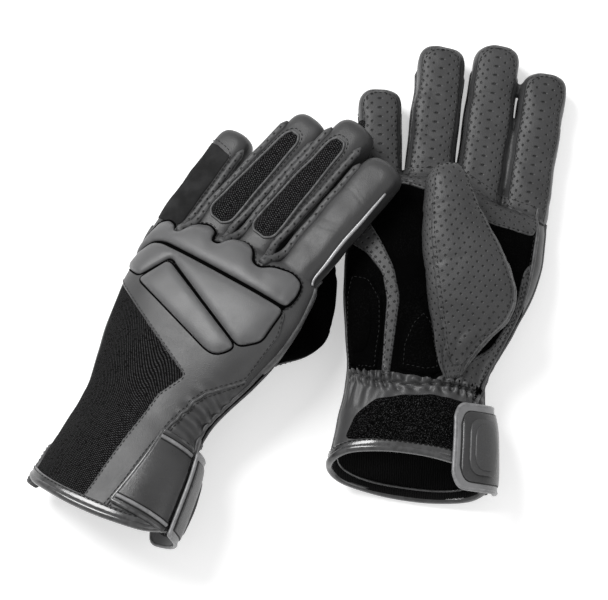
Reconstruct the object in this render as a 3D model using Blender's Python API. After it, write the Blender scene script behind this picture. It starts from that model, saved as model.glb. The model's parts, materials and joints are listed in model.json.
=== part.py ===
"""A pair of short riding gloves lying as a pair: the left one back up, the right one palm up.

Every piece of a glove is drawn in that glove's own frame, in millimetres:
    u  across the hand, towards the thumb
    v  along the hand, towards the fingertips, from 0 at the wrist
    n  out of the back of the hand
The right glove is the left one turned over, so its n points down into the table.
Each digit is drawn along its own y axis from the hinge at its root, and each strap tab from its hinge.
"""

import math

import bmesh
import bpy
from mathutils import Matrix, Vector

MM = 0.001

# --- driving dimensions, in millimetres ---------------------------------------------------------
LEATHER = 1.3          # thickness of the sewn leather and fabric panels
GAP = 0.4              # clearance between neighbouring pieces
ROUNDNESS = 2.5        # exponent of the superellipse that every cross-section follows
BACK_LEVEL = 17.0      # half thickness of the hand at the palm
MOUTH = -60.0          # v of the cuff's mouth at its two sides
MOUTH_SLANT = 9.0      # how much further the mouth reaches on the back, and how much less on the palm
WRIST_SEAM = -10.0     # v of the gathered seam between cuff and hand
BINDING = 3.2          # length of the rolled binding along the cuff
# distance off the skin and share of that length for each corner of the binding's cross-section
BINDING_PROFILE = ((1.0, 1.0), (1.6, 0.5), (0.4, 0.0), (-1.6, 0.0), (-2.8, 0.5), (-2.0, 1.0))
STRAP_FROM, STRAP_TO = -61.0, -17.0   # v of the closure strap's two edges at the thumb side
STRAP_SLANT = 4.0      # how much further up the strap sits on the back, and lower down on the palm
BASE_ANGLES = (64, 54, 44, 36, 28, 20)               # round the cuff, from the back to the thumb side
TAB_ANGLES = (10, 2, -6, -14, -24, -34, -44, -54, -66)   # onwards to the palm side
STRAP_HINGE = 11       # angle of the tab's sewn edge
PAD = 2.6              # thickness of the foam pads on the back of the hand
INNER_PAD = 2.2        # thickness of the pad between the chevron's arms
PAD_LIFT = 1.3         # between the skin and the underside of a pad or patch
PATCH_STEP = 9.0       # longest side of the quads that make a patch follow the skin
LINING_GAP = 1.6       # between a panel and the lining inside it
LINING = 0.8           # thickness of the lining
LINING_END = 76.0      # v where the lining ends
LINING_STEPS = 9
HAND_END = 4.5         # the hand's panels stop this far before the finger hinges
DIGIT_START = 1.5      # each digit's shell starts this far past its hinge

# v, centre u, half width, half thickness of the hand from the cuff's mouth to the knuckles
HAND_SECTIONS = (
    (-62.0, -2.0, 44.0, 21.0),
    (-32.0, -2.5, 41.0, 19.5),
    (-4.0, -4.5, 38.5, 16.5),
    (30.0, -1.5, 48.0, 17.0),
    (60.0, 2.0, 54.5, 17.0),
    (88.0, 3.0, 54.5, 14.5),
    (112.0, 3.0, 53.0, 12.0),
)

# root u, root v, lean in degrees, half width, half thickness, length
DIGITS = {
    "right": {
        "pinky": (-39.0, 107.0, -8.0, 12.0, 8.6, 57.0),
        "ring": (-12.0, 113.0, -1.0, 13.6, 9.0, 81.5),
        "middle": (17.0, 113.0, 1.0, 13.4, 9.0, 86.5),
        "index": (45.0, 106.0, 2.0, 13.0, 9.0, 80.0),
    },
    "left": {
        "pinky": (-46.5, 104.0, 9.0, 10.6, 9.0, 63.0),
        "ring": (-20.4, 113.6, 17.0, 12.0, 9.8, 78.0),
        "middle": (7.2, 113.9, 15.5, 12.3, 9.8, 83.0),
        "index": (35.9, 107.2, 15.0, 12.3, 9.8, 73.0),
    },
}

# root u, root v, lean, length, half thickness; the left thumb is pressed flat under its glove
THUMBS = {
    "right": (21.0, 28.0, -14.5, 88.0, 9.5),
    "left": (34.0, 53.0, -5.0, 72.0, 6.5),
}
# share of the length, half width, and share of the half thickness along the thumb
THUMB_SECTIONS = ((0.0, 17.0, 0.6), (0.35, 23.5, 1.0), (0.66, 17.5, 1.0), (1.0, 13.5, 1.0))
THUMB_TIP = 14.0         # length of the thumb's rounded tip
THUMB_CLEARANCE = 3.4    # between the palm and the thumb that lies over it

GLOVES = {
    # dorsal: +1 back up, -1 palm up; flush: how far the back (+) or the palm (-) runs level
    "left": {
        "dorsal": 1, "flush": -0.4, "width": 0.98, "shift": -5.5,
        "wrist": (-83.2, -65.3, 29.3), "turn": -25.5, "roll": -16.5,
    },
    "right": {
        "dorsal": -1, "flush": 1.0, "width": 1.0, "shift": 0.0,
        "wrist": (61.0, -41.5, 20.4), "turn": -8.0, "roll": 0.0,
    },
}

# finish, side (1 back, -1 palm), lowest and highest distance off the skin, how far the pad may stand off the
# hand's middle plane (None: no limit), and the outline's corners in (u, v) on the unscaled hand
PATCHES = {
    "knuckle_pad": ("leather", 1, PAD_LIFT, PAD_LIFT + PAD, BACK_LEVEL + PAD, (
        (-45, 86), (-43, 98), (-37, 97), (-31, 94), (-21, 102), (-12, 100), (-5, 95), (4, 101),
        (14, 98), (23, 91), (33, 95), (46, 92), (49, 86), (48, 77), (-37, 88),
    )),
    "back_pad_chevron": ("leather", 1, PAD_LIFT, PAD_LIFT + PAD, BACK_LEVEL + PAD, (
        (-46, 69), (-42, 80), (-37, 83), (47, 72), (43.7, 52), (34.8, 45), (-27, 79.5), (-40, 62.5),
    )),
    "back_pad_inner": ("leather", 1, PAD_LIFT, PAD_LIFT + INNER_PAD, BACK_LEVEL + INNER_PAD, (
        (-38.5, 60.5), (-27, 75.5), (32, 42.5), (26, 37.5), (20, 38.5),
    )),
    "heel_pad": ("suede", -1, PAD_LIFT, PAD_LIFT + 2.4, None, (
        (-33, -4), (-22, -4), (-20, 18), (-24, 36), (-33, 40), (-39, 32), (-39, 12),
    )),
    "thumb_base_pad": ("suede", -1, PAD_LIFT, PAD_LIFT + 1.6, None, (
        (-15, -5), (-16, 10), (-10, 28), (-2, 28), (2, 20), (8, 0), (2, -6),
    )),
    "palm_patch": ("suede", -1, PAD_LIFT, PAD_LIFT + 1.0, None, (
        (-40, 76), (-25, 56), (-18, 40), (-9, 36), (0, 50), (30, 60), (45, 82), (26, 88), (-5, 98), (-30, 98),
        (-40, 90),
    )),
    "loop_patch": ("loop_fabric", -1, 0.7, 1.5, None, (
        (-35, -44), (-32, -33), (-25, -23.5), (4, -15.5), (24, -18), (22, -46), (0, -45),
    )),
}

COLOURS = {
    "leather": ((0.085, 0.085, 0.087), 0.52, 0.0),
    "perforated_leather": ((0.070, 0.070, 0.072), 0.6, 0.0),
    "mesh_fabric": ((0.016, 0.016, 0.017), 0.85, 0.0),
    "suede": ((0.010, 0.010, 0.011), 0.95, 0.0),
    "binding_leather": ((0.045, 0.045, 0.047), 0.3, 0.0),
    "loop_fabric": ((0.008, 0.008, 0.008), 1.0, 0.0),
    "hook_tape": ((0.012, 0.012, 0.012), 0.7, 0.0),
    "badge_rubber": ((0.095, 0.095, 0.095), 0.55, 0.0),
    "lining": ((0.012, 0.012, 0.013), 0.9, 0.0),
    "reflective_piping": ((0.45, 0.46, 0.47), 0.3, 0.2),
}


# --- mesh helpers ---------------------------------------------------------------------------------
def material(name):
    found = bpy.data.materials.get(name)
    if found:
        return found
    made = bpy.data.materials.new(name)
    made.use_nodes = True
    shader = made.node_tree.nodes["Principled BSDF"]
    colour, roughness, metallic = COLOURS[name]
    shader.inputs["Base Color"].default_value = (*colour, 1.0)
    shader.inputs["Roughness"].default_value = roughness
    shader.inputs["Metallic"].default_value = metallic
    return made


def add_object(name, points, faces, finish, parent, dorsal):
    """A closed mesh from points in (u, v, n), turned over for a palm-up glove, with its faces pointing out."""
    mesh = bpy.data.meshes.new(name)
    mesh.from_pydata([(u * MM, v * MM, n * dorsal * MM) for u, v, n in points], [], faces)
    work = bmesh.new()
    work.from_mesh(mesh)
    bmesh.ops.remove_doubles(work, verts=work.verts, dist=1e-6)
    bmesh.ops.recalc_face_normals(work, faces=work.faces)
    work.to_mesh(mesh)
    work.free()
    mesh.shade_smooth()
    mesh.set_sharp_from_angle(angle=math.radians(40))
    obj = bpy.data.objects.new(name, mesh)
    bpy.context.scene.collection.objects.link(obj)
    obj.parent = parent
    if finish:
        mesh.materials.append(material(finish))
    return obj


def add_empty(name, parent, location, turn=0.0):
    empty = bpy.data.objects.new(name, None)
    bpy.context.scene.collection.objects.link(empty)
    empty.parent = parent
    empty.location = [value * MM for value in location]
    empty.rotation_euler = (0.0, 0.0, math.radians(turn))
    return empty


def sheet(outer, inner):
    """Points and faces of the solid between two equal grids of points."""
    rows, columns = len(outer), len(outer[0])
    points = [p for row in outer for p in row] + [p for row in inner for p in row]
    under = rows * columns
    faces = []

    def at(i, j):
        return i * columns + j

    for i in range(rows - 1):
        for j in range(columns - 1):
            quad = (at(i, j), at(i, j + 1), at(i + 1, j + 1), at(i + 1, j))
            faces.append(quad)
            faces.append(tuple(under + k for k in reversed(quad)))
    edge = [at(0, j) for j in range(columns)]
    edge += [at(i, columns - 1) for i in range(1, rows)]
    edge += [at(rows - 1, j) for j in range(columns - 2, -1, -1)]
    edge += [at(i, 0) for i in range(rows - 2, 0, -1)]
    for a, b in zip(edge, edge[1:] + edge[:1]):
        faces.append((b, a, under + a, under + b))
    return points, faces


def hoop(sections):
    """Points and faces of a ring: closed cross-sections, each joined to the next and the last to the first."""
    count, size = len(sections), len(sections[0])
    points = [p for section in sections for p in section]
    faces = []
    for i in range(count):
        for j in range(size):
            k, m = (i + 1) % count, (j + 1) % size
            faces.append((i * size + j, i * size + m, k * size + m, k * size + j))
    return points, faces


# --- the shape of a hand ------------------------------------------------------------------------
def smooth_step(t):
    return t * t * (3 - 2 * t)


def hand_section(glove, v):
    """Centre u, centre n, half width and half thickness of the hand at v."""
    first, last = HAND_SECTIONS[0], HAND_SECTIONS[-1]
    v = min(max(v, first[0]), last[0])
    for low, high in zip(HAND_SECTIONS, HAND_SECTIONS[1:]):
        if v <= high[0]:
            t = smooth_step((v - low[0]) / (high[0] - low[0]))
            centre, width, thick = (a + (b - a) * t for a, b in zip(low[1:], high[1:]))
            break
    level = glove["flush"] * (BACK_LEVEL - thick)
    return centre * glove["width"] + glove["shift"], level, width * glove["width"], thick


def superellipse(angle, half_width, half_thick):
    c, s = math.cos(angle), math.sin(angle)
    return (
        half_width * math.copysign(abs(c) ** (2 / ROUNDNESS), c),
        half_thick * math.copysign(abs(s) ** (2 / ROUNDNESS), s),
    )


def hand_point(glove, v, degrees, out):
    """A point on the hand, out millimetres off its skin; 0 degrees is the thumb side, 90 the back."""
    centre, level, width, thick = hand_section(glove, v)
    u, n = superellipse(math.radians(degrees), width + out, thick + out)
    return centre + u, v, level + n


def skin_height(glove, u, v, side, out):
    """n of the back (side 1) or the palm (side -1) at u, v, out millimetres off the skin."""
    centre, level, width, thick = hand_section(glove, v)
    t = min(abs(u - centre) / (width + out), 0.985)
    return level + side * (thick + out) * (1 - t**ROUNDNESS) ** (1 / ROUNDNESS)


def mouth(degrees):
    """v of the cuff's slanted mouth, at an angle round the cuff."""
    return MOUTH - MOUTH_SLANT * math.sin(math.radians(degrees))


def cuff_start(degrees):
    return mouth(degrees) + BINDING + GAP


def knuckle_line(glove, degrees):
    """v where the hand's panels end, a little before the hinges of the fingers, at an angle round the hand."""
    u = hand_point(glove, HAND_SECTIONS[-1][0], degrees, 0.0)[0]
    roots = [(digit[0], digit[1]) for digit in DIGITS[glove["side"]].values()]
    if u <= roots[0][0]:
        return roots[0][1] - HAND_END
    for (u0, v0), (u1, v1) in zip(roots, roots[1:]):
        if u <= u1:
            return v0 + (v1 - v0) * (u - u0) / (u1 - u0) - HAND_END
    return roots[-1][1] - HAND_END


def half_hand(glove, name, finish, side, start, end, steps):
    """The back (side 1) or palm (side -1) half of the tube; start and end give v for an angle round the hand."""
    outer, inner = [], []
    for i in range(steps + 1):
        rows = ([], [])
        for turn in range(0, 181, 15):
            degrees = side * turn
            v = start(degrees) + (end(degrees) - start(degrees)) * i / steps
            level = hand_section(glove, v)[1]
            for row, out in zip(rows, (0.0, -LEATHER)):
                u, _, n = hand_point(glove, v, degrees, out)
                row.append((u, v, level + side * max(side * (n - level), GAP / 2)))
        outer.append(rows[0])
        inner.append(rows[1])
    return add_object(name, *sheet(outer, inner), finish, glove["empty"], glove["dorsal"])


def patch(glove, name, finish, side, outline, low, high, flat):
    """A sheet that follows the skin, cut to an outline in (u, v); flat caps how far it stands off the hand."""
    us, vs = [p[0] for p in outline], [p[1] for p in outline]
    margin = 2.0
    grid = [math.ceil((max(values) - min(values)) / PATCH_STEP) for values in (us, vs)]
    outer, inner = [], []
    for i in range(grid[0] + 1):
        u = min(us) - margin + (max(us) - min(us) + 2 * margin) * i / grid[0]
        top, bottom = [], []
        for j in range(grid[1] + 1):
            v = min(vs) - margin + (max(vs) - min(vs) + 2 * margin) * j / grid[1]
            n = skin_height(glove, u, v, side, high)
            if flat is not None:
                n = side * min(side * n, flat)
            top.append((u, v, n))
            bottom.append((u, v, skin_height(glove, u, v, side, low)))
        outer.append(top)
        inner.append(bottom)
    made = add_object(name, *sheet(outer, inner), finish, glove["empty"], glove["dorsal"])
    reach = 3 * BACK_LEVEL
    count = len(outline)
    prism = [(u, v, n) for n in (-reach, reach) for u, v in outline]
    sides = [(k, (k + 1) % count, count + (k + 1) % count, count + k) for k in range(count)]
    caps = [tuple(range(count)), tuple(range(2 * count - 1, count - 1, -1))]
    cutter = add_object(name + "_outline", prism, sides + caps, None, glove["empty"], glove["dorsal"])
    cutter.hide_render = True
    cutter.display_type = "WIRE"
    cut = made.modifiers.new("outline", "BOOLEAN")
    cut.operation = "INTERSECT"
    cut.object = cutter
    return made


# --- digits ---------------------------------------------------------------------------------------
def digit_profile(share, length, half_width, half_thick, tip):
    """Station, half width and half thickness at a share of the length, with a rounded tip."""
    y = share * length
    over = (y - (length - tip)) / tip
    k = math.sqrt(max(0.0, 1 - over * over)) if over > 0 else 1.0
    taper = 1.0 - 0.14 * share
    return y, max(k, 0.08) * taper * half_width, max(k, 0.08) * taper * half_thick


def digit_shares(length, tip):
    """Where a digit's cross-sections stand, closer together round its tip."""
    ends = [1 - tip / length * (1 - round_share) for round_share in (0.0, 0.45, 0.75, 0.92, 1.0)]
    return [DIGIT_START / length, 0.3, 0.6] + ends


def finger_half(glove, parent, name, finish, side, size):
    """The back (side 1) or front (side -1) half of a finger stall, hollow and closed at the tip."""
    half_width, half_thick, length = size
    tip = 0.75 * half_width
    outer, inner = [], []
    for share in digit_shares(length, tip):
        rows = ([], [])
        for degrees in range(0, 181, 30):
            for row, off in zip(rows, (0.0, LEATHER)):
                y, a, b = digit_profile(share, length - off, half_width - off, half_thick - off, tip - off)
                x, z = superellipse(math.radians(side * degrees), a, b)
                if side * z < GAP / 2:
                    z = side * GAP / 2
                row.append((x, max(y, DIGIT_START), z))
        outer.append(rows[0])
        inner.append(rows[1])
    return add_object(name, *sheet(outer, inner), finish, parent, glove["dorsal"])


def finger_insert(glove, parent, name, finish, size, share_from, share_to, spread):
    """A fabric panel let into the back of a finger, spread degrees wide on each side of its middle."""
    half_width, half_thick, length = size
    outer, inner = [], []
    steps = 5
    for i in range(steps + 1):
        t = i / steps
        share = share_from + (share_to - share_from) * t
        pinch = 1.0 - 0.55 * t
        rows = ([], [])
        for j in range(5):
            degrees = 90 + spread * pinch * (j / 2 - 1)
            for row, off in zip(rows, (GAP + 1.0, GAP)):
                y, a, b = digit_profile(share, length, half_width, half_thick, 0.75 * half_width)
                x, z = superellipse(math.radians(degrees), a + off, b + off)
                row.append((x, y, z))
        outer.append(rows[0])
        inner.append(rows[1])
    return add_object(name, *sheet(outer, inner), finish, parent, glove["dorsal"])


def side_piping(glove, parent, name, size):
    """A slim cord along the thumb side of the index finger."""
    half_width, _, length = size
    radius = 0.8
    rows = []
    for i in range(6):
        share = 0.12 + 0.62 * i / 5
        y, a, b = digit_profile(share, length, half_width, size[1], 0.75 * half_width)
        x, z = superellipse(math.radians(28), a + GAP + radius, b + GAP + radius)
        rows.append([
            (x + radius * math.cos(math.tau * k / 6), y, z + radius * math.sin(math.tau * k / 6))
            for k in range(6)
        ])
    points = [p for row in rows for p in row]
    faces = [
        (6 * i + k, 6 * i + (k + 1) % 6, 6 * i + 6 + (k + 1) % 6, 6 * i + 6 + k)
        for i in range(5)
        for k in range(6)
    ]
    faces += [tuple(range(6)), tuple(range(35, 29, -1))]
    return add_object(name, points, faces, "reflective_piping", parent, glove["dorsal"])


def build_finger(glove, digit):
    side = glove["side"]
    u, v, lean, half_width, half_thick, length = DIGITS[side][digit]
    level = glove["flush"] * (BACK_LEVEL - half_thick)
    low = 0.6 * half_thick    # the hinge lies this far below the finger's middle, towards the palm
    hinge = add_empty(
        f"{side}_{digit}_hinge", glove["empty"], (u, v, glove["dorsal"] * (level - low)), -lean
    )
    middle = add_empty(f"{side}_{digit}_middle", hinge, (0, 0, glove["dorsal"] * low))
    size = (half_width, half_thick, length)
    finger_half(glove, middle, f"{side}_{digit}_back", "leather", 1, size)
    finger_half(glove, middle, f"{side}_{digit}_front", "perforated_leather", -1, size)
    if digit in ("ring", "middle"):
        finger_insert(glove, middle, f"{side}_{digit}_mesh_insert", "mesh_fabric", size, 0.06, 0.82, 40)
    if digit == "pinky":
        finger_insert(glove, middle, f"{side}_{digit}_stretch_panel", "suede", size, 0.06, 0.8, 58)
    if digit == "index":
        side_piping(glove, middle, f"{side}_{digit}_reflective_piping", size)


def thumb_section(share):
    """Half width and share of the half thickness at a share of the thumb's length."""
    for low, high in zip(THUMB_SECTIONS, THUMB_SECTIONS[1:]):
        if share <= high[0]:
            t = smooth_step((share - low[0]) / (high[0] - low[0]))
            return [a + (b - a) * t for a, b in zip(low[1:], high[1:])]
    return THUMB_SECTIONS[-1][1:]


def build_thumb(glove):
    """The thumb stall, a closed-tip tube that lies over the palm and swings outwards."""
    side = glove["side"]
    u, v, lean, length, full_thick = THUMBS[side]
    level = -(BACK_LEVEL + THUMB_CLEARANCE)    # the thumb's flat underside
    hinge = add_empty(f"{side}_thumb_hinge", glove["empty"], (u, v, glove["dorsal"] * level), -lean)
    angles = [math.tau * k / 14 for k in range(14)]
    shares = [DIGIT_START / length, 0.12, 0.24, 0.35, 0.5, 0.68]
    shares += [1 - THUMB_TIP / length * (1 - round_share) for round_share in (0.0, 0.45, 0.75, 0.92, 1.0)]
    walls = []
    for off in (0.0, LEATHER):
        wall = []
        for share in shares:
            y = share * (length - off)
            over = max(0.0, (y - (length - THUMB_TIP)) / (THUMB_TIP - off))
            k = max(0.08, math.sqrt(max(0.0, 1 - over * over)))
            half_width, thickness = thumb_section(share)
            half_thick = thickness * full_thick
            loop = [superellipse(angle, k * (half_width - off), k * (half_thick - off)) for angle in angles]
            wall.append([(x, max(y, DIGIT_START), z - half_thick) for x, z in loop])
        walls.append(wall)
    sections = walls[0] + walls[1][::-1]
    return add_object(f"{side}_thumb_stall", *hoop(sections), "perforated_leather", hinge, glove["dorsal"])


# --- cuff, strap and trimmings ---------------------------------------------------------------------
def build_binding(glove):
    """The rolled leather edge round the cuff's mouth."""
    sections = []
    for degrees in range(0, 360, 12):
        section = []
        for out, share in BINDING_PROFILE:
            u, v, n = hand_point(glove, mouth(degrees), degrees, out)
            section.append((u, v + share * BINDING, n))
        sections.append(section)
    name = f"{glove['side']}_cuff_binding"
    return add_object(name, *hoop(sections), "binding_leather", glove["empty"], glove["dorsal"])


def build_lining(glove):
    """A thin sleeve inside the cuff and the palm, open at both ends."""
    outer, inner = -LEATHER - LINING_GAP, -LEATHER - LINING_GAP - LINING
    walls = []
    for out in (outer, inner):
        wall = []
        for i in range(LINING_STEPS + 1):
            loop = []
            for degrees in range(0, 360, 15):
                start = mouth(degrees) + BINDING + 1.0
                loop.append(hand_point(glove, start + (LINING_END - start) * i / LINING_STEPS, degrees, out))
            wall.append(loop)
        walls.append(wall)
    name = f"{glove['side']}_lining"
    sections = walls[0] + walls[1][::-1]
    return add_object(name, *hoop(sections), "lining", glove["empty"], glove["dorsal"])


def strap_frame(glove):
    """Where the strap's tab hinges: y runs along its sewn edge, which follows the flare of the cuff."""
    low, high = (Vector(hand_point(glove, v, STRAP_HINGE, 3.0)) for v in (STRAP_FROM, STRAP_TO))
    y = (high - low).normalized()
    x = y.cross(Vector((0.0, 0.0, 1.0))).normalized()
    return Matrix.Translation((low + high) / 2) @ Matrix((x, y, x.cross(y))).transposed().to_4x4()


def strap_band(glove, parent, name, finish, angles, margin, low, high, frame=None):
    """Part of the strap: a band round the cuff between two angles, low to high millimetres off it."""
    outer, inner = [], []
    for degrees in angles:
        rows = ([], [])
        for t in (0.0, 0.25, 0.5, 0.75, 1.0):
            v = STRAP_FROM + margin + (STRAP_TO - STRAP_FROM - 2 * margin) * t
            v += STRAP_SLANT * math.sin(math.radians(degrees))
            for row, off in zip(rows, (high, low)):
                point = Vector(hand_point(glove, v, degrees, off))
                row.append(tuple(frame.inverted() @ point if frame else point))
        outer.append(rows[0])
        inner.append(rows[1])
    return add_object(name, *sheet(outer, inner), finish, parent, glove["dorsal"])


def build_strap(glove):
    """The sewn base of the strap on the back, and the tab that opens from its hinge at the thumb side."""
    side = glove["side"]
    strap_band(glove, glove["empty"], f"{side}_strap_base", "leather", BASE_ANGLES, 0.0, 1.2, 2.8)
    frame = strap_frame(glove)
    turned = Matrix.Diagonal((1.0, 1.0, glove["dorsal"], 1.0))
    hinge = add_empty(f"{side}_strap_hinge", glove["empty"], (0, 0, 0))
    hinge.matrix_local = turned @ Matrix.Scale(MM, 4) @ frame @ Matrix.Scale(1 / MM, 4) @ turned
    for name, finish, angles, margin, low, high in (
        ("strap_tab", "leather", TAB_ANGLES, 0.0, 3.4, 5.0),
        ("hook_patch", "hook_tape", TAB_ANGLES[4:], 5.0, 2.3, 2.9),
        ("strap_badge", "badge_rubber", TAB_ANGLES[4:-1], 8.0, 5.5, 6.9),
    ):
        strap_band(glove, hinge, f"{side}_{name}", finish, angles, margin, low, high, frame)


def wide(glove, outline):
    """An outline drawn on the unscaled hand, brought to this glove's width."""
    return [(u * glove["width"] + glove["shift"], v) for u, v in outline]


def build_patches(glove):
    for name, (finish, side, low, high, flat, outline) in PATCHES.items():
        patch(glove, f"{glove['side']}_{name}", finish, side, wide(glove, outline), low, high, flat)


def build_glove(side, pair):
    glove = dict(GLOVES[side], side=side)
    empty = add_empty(f"{side}_glove", pair, glove["wrist"])
    turn, roll = (
        Matrix.Rotation(math.radians(glove[key]), 3, axis) for key, axis in (("turn", "Z"), ("roll", "Y"))
    )
    empty.rotation_euler = (turn @ roll).to_euler()
    glove["empty"] = empty

    def wrist_above(_):
        return WRIST_SEAM + GAP

    def wrist_below(_):
        return WRIST_SEAM

    def knuckles(degrees):
        return knuckle_line(glove, degrees)

    half_hand(glove, f"{side}_back_panel", "leather", 1, wrist_above, knuckles, 8)
    half_hand(glove, f"{side}_palm_panel", "perforated_leather", -1, wrist_above, knuckles, 8)
    half_hand(glove, f"{side}_cuff_back", "mesh_fabric", 1, cuff_start, wrist_below, 4)
    half_hand(glove, f"{side}_cuff_front", "leather", -1, cuff_start, wrist_below, 4)
    build_binding(glove)
    build_lining(glove)
    build_patches(glove)
    build_strap(glove)
    for digit in DIGITS[side]:
        build_finger(glove, digit)
    build_thumb(glove)


def settle(pair):
    """Moves the pair so that the origin is under the middle of its box, on the table."""
    bpy.context.view_layer.update()
    corners = [
        obj.matrix_world @ vertex.co
        for obj in bpy.data.objects
        if obj.type == "MESH" and not obj.hide_render
        for vertex in obj.evaluated_get(bpy.context.evaluated_depsgraph_get()).data.vertices
    ]
    low = Vector([min(c[k] for c in corners) for k in range(3)])
    high = Vector([max(c[k] for c in corners) for k in range(3)])
    pair.location = (-(low.x + high.x) / 2, -(low.y + high.y) / 2, -low.z)
    bpy.context.view_layer.update()


def main():
    for obj in list(bpy.data.objects):
        bpy.data.objects.remove(obj)
    pair = add_empty("riding_gloves", None, (0.0, 0.0, 0.0))
    for side in GLOVES:
        build_glove(side, pair)
    settle(pair)


main()
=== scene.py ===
"""Looks for a pair of short riding gloves: the left one back up, the right one palm up under its fingers.

Each glove is modelled in its own frame, in millimetres, and then put in place by the joints of the frame:
    u  across the hand, towards the thumb
    v  along the hand, towards the fingertips, from 0 at the wrist
    n  out of the back of the hand
The two gloves are a mirrored pair, so one set of outlines in (u, v) serves both.
"""

import json
import math

import bmesh
import bpy
import numpy as np
from mathutils import Matrix, Vector, noise
from mathutils.bvhtree import BVHTree
from mathutils.geometry import delaunay_2d_cdt
from mathutils.kdtree import KDTree


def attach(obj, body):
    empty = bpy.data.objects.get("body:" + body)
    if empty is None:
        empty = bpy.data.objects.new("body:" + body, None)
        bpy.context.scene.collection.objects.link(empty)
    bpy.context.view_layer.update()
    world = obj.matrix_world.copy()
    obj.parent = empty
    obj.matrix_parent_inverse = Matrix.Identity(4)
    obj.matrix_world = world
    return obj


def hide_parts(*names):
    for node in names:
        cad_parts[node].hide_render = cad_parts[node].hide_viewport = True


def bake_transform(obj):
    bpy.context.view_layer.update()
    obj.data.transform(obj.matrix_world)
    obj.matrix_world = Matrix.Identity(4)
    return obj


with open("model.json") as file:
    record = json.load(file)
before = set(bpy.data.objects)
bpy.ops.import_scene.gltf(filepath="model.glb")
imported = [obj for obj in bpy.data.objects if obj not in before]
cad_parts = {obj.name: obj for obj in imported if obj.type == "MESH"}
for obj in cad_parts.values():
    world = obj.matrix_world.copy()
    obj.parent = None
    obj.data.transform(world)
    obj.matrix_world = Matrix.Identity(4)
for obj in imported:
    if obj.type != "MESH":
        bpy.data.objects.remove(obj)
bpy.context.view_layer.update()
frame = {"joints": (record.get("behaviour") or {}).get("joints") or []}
MM = 0.001

# --- the gloves' shape, as in the frame's solids ------------------------------------------------------
BACK_LEVEL = 17.0
MOUTH, MOUTH_SLANT = -60.0, 9.0
HAND = np.array([       # v, centre u, half width, half thickness
    (-76, -1.8, 45.2, 21.6), (-62, -2, 44, 21), (-32, -2.5, 41, 19.5), (-4, -4.5, 38.5, 16.5),
    (30, -1.5, 48, 17), (60, 2, 54.5, 17), (88, 3, 54.5, 14.5), (112, 3, 53, 12),
], float)
DIGITS = {              # root u, root v, lean, half width, half thickness, length
    "right": {
        "pinky": (-39.0, 107.0, -8.0, 12.0, 8.6, 57.0),
        "ring": (-12.0, 113.0, -1.0, 13.6, 9.0, 81.5),
        "middle": (17.0, 113.0, 1.0, 13.4, 9.0, 86.5),
        "index": (45.0, 106.0, 2.0, 13.0, 9.0, 80.0),
    },
    "left": {
        "pinky": (-46.5, 104.0, 9.0, 10.6, 9.0, 63.0),
        "ring": (-20.4, 113.6, 17.0, 12.0, 9.8, 78.0),
        "middle": (7.2, 113.9, 15.5, 12.3, 9.8, 83.0),
        "index": (35.9, 107.2, 15.0, 12.3, 9.8, 73.0),
    },
}
WEBS = {                # u, v of the hand's far edge: its two corners and the webs between the fingers
    "right": ((-53, 100), (-27, 113), (1.5, 118), (29, 102), (57, 98)),
    "left": ((-59, 97), (-37, 104), (-9.5, 106), (18.5, 103.5), (52, 97)),
}
GLOVES = {              # which way the back looks, which face is level, and the scale and shift of u
    "left": {"dorsal": 1, "flush": -0.4, "width": 0.98, "shift": -5.5},
    "right": {"dorsal": -1, "flush": 1.0, "width": 1.0, "shift": 0.0},
}
PALM_END, ROUND_FROM, HAND_END = 88.0, 101.0, 112.0    # v: rings slant to the webs, round off, and end
FINE = 1.3              # voxel of the sewn skin


def joint(name):
    return next(j for j in frame["joints"] if j["name"] == name)


def glove_matrix(side):
    """From a glove's own (u, v, n) in millimetres to the frame, out of its thumb and index joints."""
    glove = GLOVES[side]
    dorsal = glove["dorsal"]
    curl = joint(f"{side}_index_curl")
    up = -Vector(joint(f"{side}_thumb_swing")["axis"]).normalized()
    across = (-dorsal * Vector(curl["axis"])).normalized()
    u, v, lean, _, half_thick, _ = DIGITS[side]["index"]
    across = Matrix.Rotation(math.radians(lean), 3, up) @ across
    along = up.cross(across)
    out = up * dorsal
    low = glove["flush"] * (BACK_LEVEL - half_thick) - 0.6 * half_thick
    origin = Vector(curl["pos_m"]) - (across * u + along * v + out * low) * MM
    matrix = Matrix((across * MM, along * MM, out * MM)).transposed().to_4x4()
    matrix.translation = origin
    return matrix


PLACE = {side: np.array(glove_matrix(side)) for side in GLOVES}


def to_world(side, points):
    place = PLACE[side]
    return np.asarray(points) @ place[:3, :3].T + place[:3, 3]


def from_world(side, points):
    back = np.linalg.inv(PLACE[side])
    return np.asarray(points) @ back[:3, :3].T + back[:3, 3]


# --- shape functions ----------------------------------------------------------------------------------
def cubic(x, xs, ys):
    """Smooth curve through (xs, ys), evaluated at x."""
    x = np.clip(x, xs[0], xs[-1])
    slope = np.gradient(ys, xs)
    i = np.clip(np.searchsorted(xs, x, side="right") - 1, 0, len(xs) - 2)
    h = xs[i + 1] - xs[i]
    t = (x - xs[i]) / h
    return (
        ys[i] * (1 + 2 * t) * (1 - t) ** 2 + slope[i] * h * t * (1 - t) ** 2
        + ys[i + 1] * t * t * (3 - 2 * t) + slope[i + 1] * h * t * t * (t - 1)
    )


def hand_section(side, v):
    """Centre u, level n, half width and half thickness at v."""
    glove = GLOVES[side]
    centre, width, thick = (cubic(v, HAND[:, 0], HAND[:, k]) for k in (1, 2, 3))
    level = glove["flush"] * (BACK_LEVEL - thick)
    return centre * glove["width"] + glove["shift"], level, width * glove["width"], thick


def ellipse(angle, exponent=2.5):
    c, s = np.cos(angle), np.sin(angle)
    return np.sign(c) * np.abs(c) ** (2 / exponent), np.sign(s) * np.abs(s) ** (2 / exponent)


def smooth(t):
    t = np.clip(t, 0, 1)
    return t * t * (3 - 2 * t)


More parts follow.
